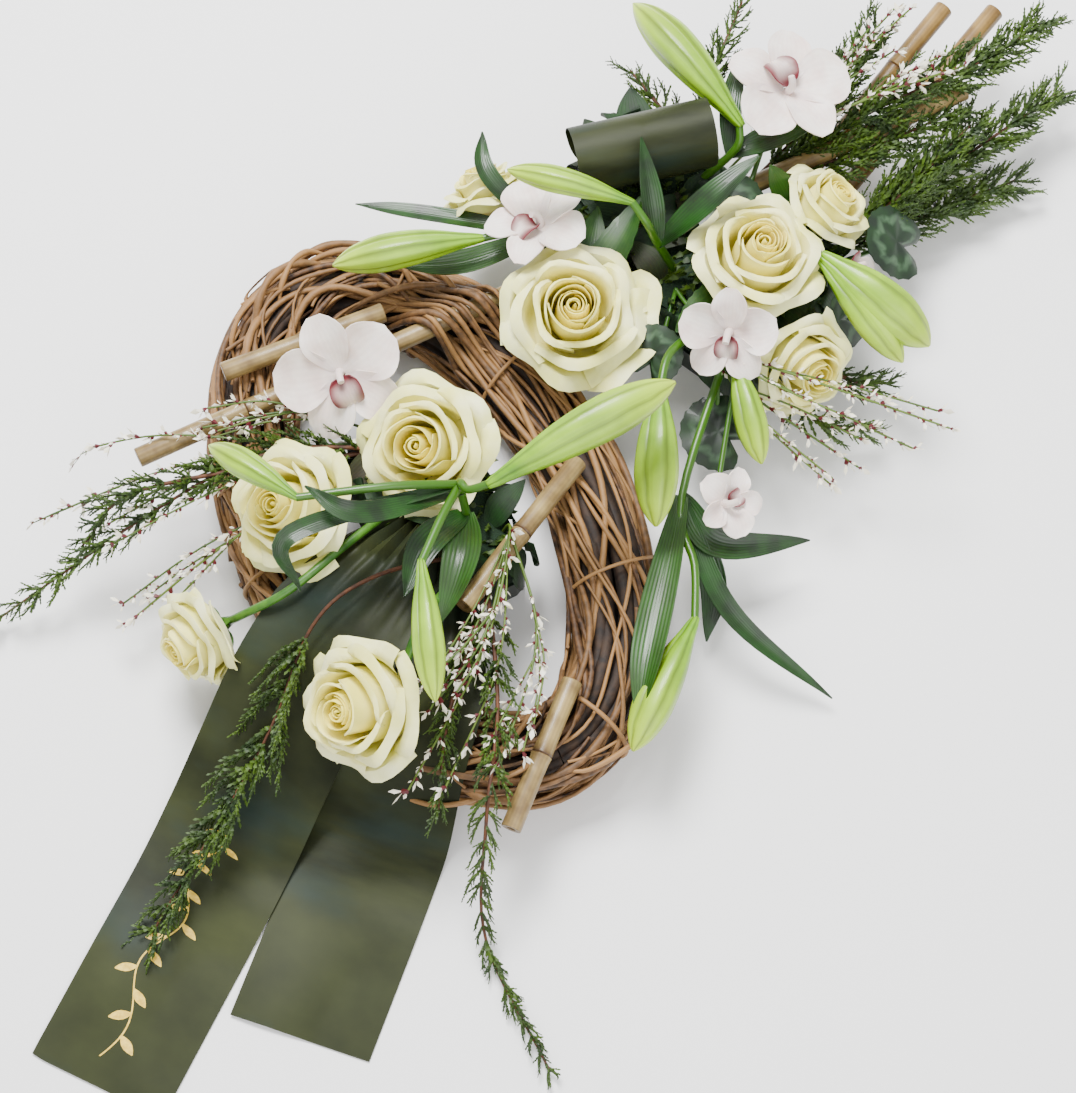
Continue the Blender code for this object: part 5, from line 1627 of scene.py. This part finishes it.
@dataclass
class Cyclamen:
    """Cyclamen leaves that share a root.

    Attributes:
        root: Where the stalks stand in the foam.
        leaves: Middle, facing, width and the stalk's knots of each leaf.
        move: How far each leaf is moved.
    """

    name: str
    root: tuple[float, float]
    leaves: tuple
    move: Point

    def leaf(self, mesher: Mesher, place: Matrix, width: float) -> None:
        """Add one heart-shaped leaf; its tint is strongest in the silver band."""
        columns, count = 40, 9
        top, bottom, tints = [], [], []
        for share in shares(count):
            for k in range(columns):
                angle = ROUND * k / columns - math.pi / 2
                gap = abs(math.atan2(math.sin(angle + math.pi / 2), math.cos(angle + math.pi / 2)))
                edge = 1.0 - 0.62 * math.exp(-(gap / 0.3) ** 2) + 0.08 * math.exp(-((gap - 0.75) / 0.4) ** 2)
                edge *= 1.0 + 0.02 * math.cos(20 * angle)
                rise = 3.4 - 3.6 * share ** 2 + 0.9 * share * math.sin(5 * angle) + 2.0 * (1 - share) * -0.6
                spot = polar(angle, width / 2 * edge * (0.04 + 0.96 * share), rise)
                top.append(place @ (spot + UP * 0.35))
                bottom.append(place @ (spot - UP * 0.35))
                band = math.exp(-((share - 0.62 - 0.09 * math.cos(7 * angle)) / 0.15) ** 2)
                tints.append(band * (0.5 + 0.5 * abs(math.sin(3.5 * angle)) ** 0.6))
        size = columns * count
        faces = []
        for i in range(count - 1):
            for face in girdle(columns, i * columns):
                faces += [face, tuple(size + corner for corner in reversed(face))]
        faces += girdle(columns, size - columns, 2 * size - columns)
        faces += [tuple(reversed(range(columns))), tuple(range(size, size + columns))]
        uvs = [(k / columns, share) for share in shares(count) for k in range(columns)]
        mesher.add(top + bottom, faces, uvs + uvs, 0.0)
        mesher.tints[-2 * size:] = tints + [0.0] * size

    def build(self) -> None:
        """Build the leaves and their stalks."""
        mesher, lines = Mesher(), Lines()
        mouth = Vector((*self.root, FOAM_TOP + 5))
        for index, (middle, faces, width, via) in enumerate(self.leaves):
            axis = Vector(faces).normalized()
            middle = Vector(middle) + Vector(self.move)
            knots = [Vector(knot) for knot in via] + [middle - axis * 14, middle + axis * 1]
            path = smooth_path([mouth] + knots, 6) if index else stem_way(self.root, knots)
            lines.add(path, [1.7] * len(path), 0.4)
            self.leaf(mesher, standing(axis, middle, index), width)
        mesher.dress(self.name + "_leaves", CYCLAMEN, self.name)
        tubes(lines, self.name + "_stalks", ROSE_GREEN, sides=8)


@dataclass
class Spray:
    """A spray: the ways of its twigs, the reach of its shoots and its seed."""

    name: str
    ways: tuple
    reach: float
    seed: int

    def twig_paths(self) -> Grid:
        """Run each twig through its knots; the others leave the first one at its second knot."""
        first = self.ways[0]
        return [smooth_path(first, 8)] + [smooth_path((first[1], *way), 8) for way in self.ways[1:]]


@dataclass
class JuniperSpray(Spray):
    """A spray of juniper: twigs, feathery shoots and their scaly side shoots."""

    spacing: float = 7.0
    foot: float = 60.0

    def shoots(self, path: list[Vector], bare: float,
               draw: random.Random) -> list[tuple[list[Vector], float]]:
        """Give the shoots of one twig, on alternate sides out to its tip.

        Args:
            path: The twig's points.
            bare: The length at its foot that has no shoots.
            draw: The source of the random spreads.

        Returns:
            The points and the length of each shoot.
        """
        frames = path_frames(path)
        lengths = [0.0]
        for a, b in zip(path, path[1:]):
            lengths.append(lengths[-1] + (b - a).length)
        shoots, at, sign = [], bare, 1
        while at < lengths[-1] - 4:
            index = next(i for i, length in enumerate(lengths) if length >= at)
            tangent, side, up = frames[index]
            share = (at - bare) / max(1.0, lengths[-1] - bare)
            length = self.reach * (1.0 - 0.45 * share) * draw.uniform(0.7, 1.15)
            across = side * (sign * draw.uniform(0.3, 0.8))
            lean = (tangent * 0.9 + across + up * draw.uniform(-0.15, 0.5)).normalized()
            bend = (lean + tangent * 0.8 + Vector((0, 0, draw.uniform(-0.15, 0.1)))).normalized()
            start, half = path[index], length * 0.5
            knots = [start, start + lean * half, start + lean * half + bend * half]
            shoots.append((smooth_path(knots, 3), length))
            sign = -sign
            at += self.spacing * draw.uniform(0.8, 1.2)
        shoots.append((path[-9:], (path[-1] - path[-9]).length))
        return shoots

    def build(self, unit: Piece) -> None:
        """Build the spray.

        Args:
            unit: The scaly shoot that repeats.
        """
        draw = random.Random(self.seed)
        twigs, greens = Lines(), Lines()
        for number, path in enumerate(self.twig_paths()):
            girths = [2.0 - 1.1 * i / (len(path) - 1) for i in range(len(path))]
            twigs.add(path, girths, 0.0)
            for shoot, length in self.shoots(path, 8.0 if number else self.foot, draw):
                shoot = above(shoot, 2.0)
                twigs.add(shoot, [0.9 - 0.4 * i / len(shoot) for i in range(len(shoot))], 0.9)
                longest = min(13.0, 4.5 + length * 0.26)
                reaches = [longest * (1.1 - 0.6 * i / (len(shoot) - 1)) for i in range(len(shoot))]
                greens.add(shoot, reaches, 0.0, reaches)
        tubes(twigs, self.name + "_twigs", JUNIPER_TWIG, self.name, sides=5)
        rule = SprigRule(2.1, 0.6, math.pi, 0.9, 0.3)
        sprigs(greens, unit, self.name + "_scales", JUNIPER, rule, self.seed)


@dataclass
class BroomSpray(Spray):
    """A spray of broom: thin stems with tiny white flowers and dark buds."""

    def build(self, floret: Piece, bud: Piece) -> None:
        """Build the spray.

        Args:
            floret: The open flower that repeats.
            bud: The closed bud that repeats.
        """
        draw = random.Random(self.seed)
        stems, blooms, buds = Lines(), Lines(), Lines()
        for path in self.twig_paths():
            stems.add(path, [1.2 - 0.4 * i / (len(path) - 1) for i in range(len(path))], draw.random())
            for _ in range(3):
                self.side_stem(path, draw, stems, blooms, buds)
            outer = path[len(path) // 3:]
            blooms.add(outer, [10.0] * len(outer))
            buds.add(outer, [6.5] * len(outer))
        tubes(stems, self.name + "_stems", BROOM_STEM, self.name, sides=5)
        open_rule, bud_rule = SprigRule(10.0, 0.8, 2.4, 0.8, 0.35), SprigRule(8.0, 0.6, 2.4, 0.9, 0.3)
        sprigs(blooms, floret, self.name + "_florets", BROOM_FLORET, open_rule, self.seed)
        sprigs(buds, bud, self.name + "_buds", BROOM_FLORET, bud_rule, self.seed + 9)

    def side_stem(self, path: list[Vector], draw: random.Random, stems: Lines, blooms: Lines,
                  buds: Lines) -> None:
        """Add a long thin stem that leaves a twig and runs on beside it.

        Args:
            path: The twig's points.
            draw: The source of the random spreads.
            stems: Where the stem goes.
            blooms: Where its open flowers go.
            buds: Where its buds go.
        """
        first = draw.uniform(0.3, 0.6)
        last = draw.uniform(0.82, 0.98)
        start = at_share(path, first)
        run = at_share(path, last) - start
        side = run.normalized().cross(UP) * draw.choice((-1, 1)) * run.length * draw.uniform(0.08, 0.24)
        rise = UP * draw.uniform(-4, 8)
        stem = smooth_path([start, at_share(path, (first + last) / 2) + side * 0.6 + rise,
                            at_share(path, last) + side + rise], 6)
        stems.add(stem, [0.75] * len(stem), draw.random())
        blooms.add(stem[4:], [9.0] * (len(stem) - 4))
        buds.add(stem[3:], [5.5] * (len(stem) - 3))


STICKS = (
    BambooStick("bamboo_long", *LONG_STICK),
    BambooStick("bamboo_left", (-188, -6, 76.5), (-128, 100, 76.5)),
    BambooStick("bamboo_middle", (59, -43, 96.5), (50, 96, 71.5)),
    BambooStick("bamboo_foot", (176, -140, 69.5), (146, -34, 75.5)),
    BambooStick("bamboo_head_1", (41, 555, 65), (34, 318, 31), BAMBOO_GOLDEN),
    BambooStick("bamboo_head_2", (72, 577, 64), (64, 318, 31), BAMBOO_GOLDEN),
)

ROSES = (
    Rose("rose_1", (-10, 169, 128), (0.15, -0.15, 1.0), 92, (-14, 243), (),
        (((-18.5, 180.3, 74.7), (-54, 254, 92), 24), ((-18.5, 180.3, 74.7), (-30, 278, 106), 24)),
        (352, 308)),
    Rose("rose_2", (-32, 20, 125), (-0.05, -0.45, 1.0), 90, (-14.3, 27.3)),
    Rose("rose_3", (-83, -71, 119), (-0.35, -0.55, 1.0), 86, (-42.6, -2.6)),
    Rose("rose_4", (-82, -182, 67), (-0.25, -1.0, 0.3), 66, (-25.3, 3.7),
        ((-30, -56, 101), (-40, -108, 101), (-60, -138, 81)), (), (60,)),
    Rose("rose_5", (46, -158, 123), (-0.3, -0.75, 0.8), 88, (39.1, -12), ((46, -70, 107),)),
    Rose("rose_6", (68, 284, 140), (0.12, 0.1, 1.0), 84, (64, 282), (),
        (((61.5, 273.6, 86), (52, 205, 104), 26),)),
    Rose("rose_7", (80, 364, 106), (0.3, 0.6, 0.8), 62, (77, 321), (),
        (((63.3, 337.8, 74.1), (28, 347, 112), 22),)),
    Rose("rose_8", (146, 248, 84), (0.8, -0.25, 0.55), 70, (90, 256)),
    Rose("rose_9", (-140, 224, 88), (-0.8, 0.4, 0.55), 60, (-66, 256)),
)

LILIES = (
    Lily("lily_centre", (21.1, 10.8), (8, 13, 122), (
        (((18, 10, 134),), (28, 18, 142), (86, 147, 162), 32),
        (((16, -16, 134),), (26, -50, 142), (94, -120, 138), 23),
        (((-22, -22, 142),), (-64, -68, 146), (-140, -72, 132), 21)),
        ((((6, 8, 112), (-24, -52, 152), (-62, -62, 160)), 15),
        (((-40, -42, 146), (-50, -92, 152), (-28, -112, 122)), 13),
        (((8, 14, 84), (34, -20, 92), (50, -62, 84)), 26),
        (((6, 14, 78), (10, -30, 98), (22, -66, 96)), 22)), (5, 0, 16)),
    Lily("lily_1", (-14, 321), (0, 345, 108), (
        ((), (-4, 356, 120), (-125, 387, 122), 32),),
        ((((-1, 340, 100), (-22, 368, 116), (-42, 408, 116)), 16),
        (((0, 342, 102), (16, 372, 106), (38, 412, 110)), 20))),
    Lily("lily_2", (12, 256), (2, 246, 122), (
        (((-4, 243, 144),), (-18, 247, 152), (-104, 213, 152), 20),),
        ((((4, 250, 112), (-14, 262, 140), (-44, 288, 158)), 16),
        (((3, 248, 116), (20, 284, 150), (30, 326, 160)), 20))),
    Lily("lily_3", (-66, 243), (-80, 222, 96), (
        (((-98, 200, 108),), (-108, 188, 108), (-180, 107, 104), 28),),
        ((((-82, 220, 96), (-136, 228, 112), (-160, 252, 112)), 14),
        (((-84, 218, 94), (-160, 186, 86), (-206, 162, 82)), 14),
        (((-82, 218, 92), (-114, 172, 88), (-150, 142, 84)), 18)), (10, -10, 0)),
    Lily("lily_6", (64, 243), (60, 190, 112), (
        ((), (70, 162, 118), (128, 82, 100), 33),)),
    Lily("lily_7", (90, 295), (92, 304, 110), (
        ((), (99, 306, 116), (196, 306, 92), 36), ((), (100, 303, 115), (188, 286, 88), 26)), (), (0, 5, 0)),
    Lily("lily_8", (90, 243), (88, 224, 92), (
        ((), (94, 218, 94), (154, 171, 80), 24),)),
    Lily("lily_10", (77, 243), (122, 122, 66), (
        (((160, 86, 68),), (184, 56, 68), (207, -46, 66), 30),),
        ((((124, 118, 66), (162, 112, 60), (209, 158, 46)), 22),
        (((128, 114, 66), (196, 80, 50), (286, 84, 12)), 15),
        (((120, 122, 64), (170, 22, 82), (198, -30, 76)), 24),
        (((124, 120, 62), (170, 96, 34), (192, 62, 16)), 20))),
)

ORCHIDS = (
    Orchid("orchid_1", (-110, 34, 112), (0.35, -0.45, 0.8), 92, (-55.1, 32), 0.4),
    Orchid("orchid_2", (-70, 205, 117), (-0.3, 0.1, 0.95), 76, (-53, 243), 1.62),
    Orchid("orchid_3", (2, 402, 114), (0.2, 0.15, 0.95), 92, (25, 321), 2.2),
    Orchid("orchid_4", (112, 326, 88), (0.75, 0.3, 0.6), 60, (90, 321), 0.9, 3),
    Orchid("orchid_5", (84, 224, 112), (0.2, -0.6, 0.75), 70, (64, 256), 0.2),
    Orchid("orchid_6", (150, 136, 72), (0.5, -0.1, 0.85), 50, (77, 256), 1.5),
)

CYCLAMENS = (
    Cyclamen("cyclamen_1", (12, 308), (((18, 314, 82), (-0.1, 0.1, 1.0), 54, ()),), (0, 0, 5)),
    Cyclamen("cyclamen_2", (90, 308), (((120, 362, 70), (0.5, 0.3, 0.8), 54, ()),
        ((122, 290, 62), (0.7, -0.1, 0.7), 50, ())), (5, 10, 0)),
    Cyclamen("cyclamen_3", (25, 243), (((52, 192, 92), (0.1, -0.5, 0.85), 42, ()),
        ((114, 188, 48), (0.12, -0.15, 1.0), 54, ((76, 220, 80),))), (-5, -5, 0)),
)

JUNIPERS = (
    JuniperSpray("juniper_head_1", (
        ((9, 323, 40), (13, 357, 57), (53, 445, 79), (91, 525, 79), (105, 589, 65)),
        ((20, 420, 70), (16, 500, 78)),
        ((58, 410, 66), (98, 492, 62))), 46, 11, 3.8),
    JuniperSpray("juniper_head_2", (
        ((84, 318, 36), (90, 352, 44), (112, 440, 46), (132, 510, 48), (146, 562, 46)),
        ((122, 420, 32), (157, 491, 22)),
        ((104, 410, 58), (112, 488, 60))), 46, 12, 3.8),
    JuniperSpray("juniper_top", (((-40, 318, 40), (-44, 345, 72), (-56, 395, 90), (-73, 452, 92)),
        ((-84, 360, 66), (-112, 370, 62))), 30, 13),
    JuniperSpray("juniper_left", (
        ((-46, 24, 40), (-62, 14, 82), (-118, -38, 92), (-158, -112, 74), (-212, -230, 16)),
        ((-170, -110, 88), (-190, -160, 50))), 34, 14),
    JuniperSpray("juniper_right", (((84, 280, 40), (118, 268, 44), (150, 236, 40), (197, 262, 28)),
        ((158, 280, 34), (182, 300, 26))), 28, 15),
    JuniperSpray("juniper_ribbon", (
        ((33, -7, 40), (29, -19, 88), (-1, -69, 106), (-11, -119, 102), (5, -195, 60), (17, -331, 8)),
        ), 56, 16, 8.0, 165.0),
    JuniperSpray("juniper_foot", (
        ((45, -8, 40), (65, -24, 82), (121, -84, 92), (163, -150, 80), (201, -200, 10), (288, -242, 6)),
        ((96, -104, 90), (130, -160, 72))), 28, 17),
)

BROOMS = (
    BroomSpray("broom_left", (((-35, 26, 40), (-49, 32, 80), (-155, -70, 84), (-227, -170, 56)),
        ((-100, -85, 71), (-132, -183, 37)),
        ((-120, 0, 92), (-168, -50, 88))), 12, 21),
    BroomSpray("broom_middle", (((34, 18, 40), (50, 20, 96), (90, -60, 100), (108, -164, 84)),
        ((112, -30, 96), (146, -112, 92)),
        ((84, -50, 104), (88, -104, 102))), 12, 22),
    BroomSpray("broom_right", (((53, 244, 40), (67, 212, 95), (145, 236, 97), (243, 270, 89)),
        ((110, 210, 76), (204, 222, 50))), 12, 23),
    BroomSpray("broom_head", (((-10, 336, 40), (2, 352, 88), (20, 440, 100), (28, 522, 92)),
        ((46, 430, 104), (86, 510, 90))), 12, 24),
)


@dataclass
class FoamCover:
    """The short greens and dark leaves that hide a foam block, as on a finished arrangement.

    The block is given by its key, middle, length, width and turn about Z. The seed is the random
    spreads', and the spread is how far the leaves at the edge lean out.
    """

    key: str
    middle: tuple[float, float]
    length: float
    width: float
    turn: float
    seed: int
    spread: float

    def spot(self, x: float, y: float, z: float) -> Vector:
        """Turn a point on the block into the layout frame."""
        return Matrix.Rotation(self.turn, 3, "Z") @ Vector((x, y, z)) + Vector((*self.middle, 0.0))

    def sprigs(self, unit: Piece, draw: random.Random) -> None:
        """Set short juniper tips in rows over the foam's top."""
        lines = Lines()
        across = int(self.width // 9)
        for j in range(across + 1):
            y = -self.width / 2 + 4 + (self.width - 8) * j / across
            path = [self.spot(-self.length / 2 + 4 + (self.length - 8) * i / 12 + draw.uniform(-3, 3),
                              y + draw.uniform(-3, 3), FOAM_TOP - 1) for i in range(13)]
            lines.add(path, [1.0] * 13, 0.0, [draw.uniform(16, 27) for _ in range(13)])
        sprigs(lines, unit, f"greens_{self.key}", JUNIPER, SprigRule(6.0, 1.15, 2.4, 2.0, 0.35), self.seed)

    def edge_spots(self) -> list[tuple[float, float, float]]:
        """List places along the block's edge with the way that is outward there."""
        spots = []
        for length, width, along_x in ((self.length, self.width, True), (self.width, self.length, False)):
            count = max(2, int(length // 21))
            for i in range(count):
                along = -length / 2 + length * (i + 0.5) / count
                for sign in (1, -1):
                    out = sign * (width / 2 - 2)
                    if along_x:
                        spots.append((along, out, math.atan2(sign, 0.0)))
                    else:
                        spots.append((out, along, 0.0 if sign > 0 else math.pi))
        return spots

    def leaves(self, draw: random.Random) -> None:
        """Hang dark leaves over the block's edge, and lay some on its top."""
        mesher = Mesher()
        for index, (x, y, way) in enumerate(self.edge_spots()):
            out = polar(way + draw.uniform(-0.4, 0.4))
            slant = Vector((-out.y, out.x, 0.0)) * draw.uniform(-16, 16)
            ends = ((0.0, 0.0, FOAM_TOP - 1), (self.spread * 0.5, 0.15, FOAM_TOP + draw.uniform(4, 14)),
                    (self.spread * draw.uniform(0.8, 1.1), 0.6, FOAM_TOP - draw.uniform(12, 28)),
                    (self.spread * draw.uniform(0.8, 1.3), 1.0, FOAM_TOP - draw.uniform(34, 60)))
            way_down = [self.spot(x + out.x * reach + slant.x * part, y + out.y * reach + slant.y * part, z)
                        for reach, part, z in ends]
            mesher.sheet(lance_rows(way_down, draw.uniform(19, 34), 8, 6, 0.1, index), 0.5,
                         draw.uniform(0, 0.75))
        for index in range(int(self.length * self.width / 700)):
            x = draw.uniform(-0.45, 0.45) * self.length
            y = draw.uniform(-0.42, 0.42) * self.width
            out = polar(draw.uniform(0, ROUND))
            ends = ((0, FOAM_TOP - 1), (14, FOAM_TOP + draw.uniform(8, 14)),
                    (38, FOAM_TOP + draw.uniform(2, 14)))
            way_on = [self.spot(x + out.x * reach, y + out.y * reach, z) for reach, z in ends]
            mesher.sheet(lance_rows(way_on, draw.uniform(20, 27), 8, 7, 0.1, 60 + index), 0.5,
                         draw.uniform(0, 0.9))
        mesher.dress(f"leaves_{self.key}", COVER_LEAF)

    def build(self, unit: Piece) -> None:
        """Build the greens and the leaves."""
        draw = random.Random(self.seed)
        self.sprigs(unit, draw)
        self.leaves(draw)


class Studio:
    """The floor, the lights and the camera."""

    azimuth = math.radians(38.0)
    elevation = math.radians(70.0)
    distance = 2000.0
    target = Vector((59.818, 38.222, 40.0))
    lens = 93.5

    def floor(self) -> None:
        """Lay the pale floor."""
        bpy.ops.mesh.primitive_plane_add(size=8.0, location=(0.0, 0.0, -0.0005))
        floor = bpy.context.object
        floor.name = "floor"
        material = bpy.data.materials.new("pale_floor")
        material.use_nodes = True
        Wiring(material.node_tree).feed(material.node_tree.nodes["Principled BSDF"], {
            "Base Color": (0.93, 0.93, 0.93, 1.0), "Roughness": 0.7})
        floor.data.materials.append(material)

    @staticmethod
    def lamp(name: str, place: Point, size: float, power: float) -> None:
        """Hang a soft square lamp that shines at the arrangement."""
        light = bpy.data.lights.new(name, "AREA")
        light.shape = "SQUARE"
        light.size = size
        light.energy = power
        lamp = place_object(name, light)
        lamp.location = place
        lamp.rotation_euler = (-Vector(place)).to_track_quat("-Z", "Y").to_euler()

    def camera(self) -> None:
        """Set the camera at the photograph's angle."""
        back = Vector((math.cos(self.elevation) * math.sin(self.azimuth),
                       -math.cos(self.elevation) * math.cos(self.azimuth), math.sin(self.elevation)))
        right = polar(self.azimuth)
        up = back.cross(right)
        data = bpy.data.cameras.new("camera")
        data.lens = self.lens
        data.clip_end = 50.0
        camera = place_object("camera", data)
        place = to_row(self.target + back * self.distance)
        camera.matrix_world = Matrix.Translation(place) @ Matrix((right, up, back)).transposed().to_4x4()
        bpy.context.scene.camera = camera

    def build(self) -> None:
        """Set the stage."""
        self.floor()
        self.lamp("key", (-0.9, 0.6, 2.2), 1.0, 140.0)
        self.lamp("fill", (1.4, -1.0, 1.6), 2.0, 36.0)
        world = bpy.data.worlds.new("studio")
        world.use_nodes = True
        Wiring(world.node_tree).feed(world.node_tree.nodes["Background"], {
            "Color": (1.0, 1.0, 1.0, 1.0), "Strength": 0.95})
        bpy.context.scene.world = world
        self.camera()


def dress_cad_nodes() -> None:
    """Give the trays and the foam blocks, whose shapes are right, their finishes."""
    for key, finish in (("foam", FOAM), ("tray", TRAY)):
        for where in ("head", "centre"):
            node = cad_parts[f"{key}_{where}"]
            node.data.materials.clear()
            node.data.materials.append(finish.material())


def main() -> None:
    """Build the arrangement's looks, from the wreath out to the stage."""
    dress_cad_nodes()
    Wreath().build()
    for stick in STICKS:
        stick.build()
    Ribbon().build()
    for index, rose in enumerate(ROSES):
        rose.build(100 + index)
    for index, lily in enumerate(LILIES):
        lily.build(200 + 10 * index)
    for orchid in ORCHIDS:
        orchid.build()
    for cyclamen in CYCLAMENS:
        cyclamen.build()
    cord, floret, bud = Units.cord(), Units.floret(1.0), Units.floret(0.0)
    for juniper in JUNIPERS:
        juniper.build(cord)
    for broom in BROOMS:
        broom.build(floret, bud)
    FoamCover("head", (12, 282), 190, 106, 0.0, 31, 18).build(cord)
    FoamCover("centre", (-8, 10), 122, 80, math.radians(-25), 32, 9).build(cord)
    for unit in (cord, floret, bud):
        bpy.data.objects.remove(unit)
    Studio().build()
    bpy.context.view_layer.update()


if __name__ == "__main__":
    main()
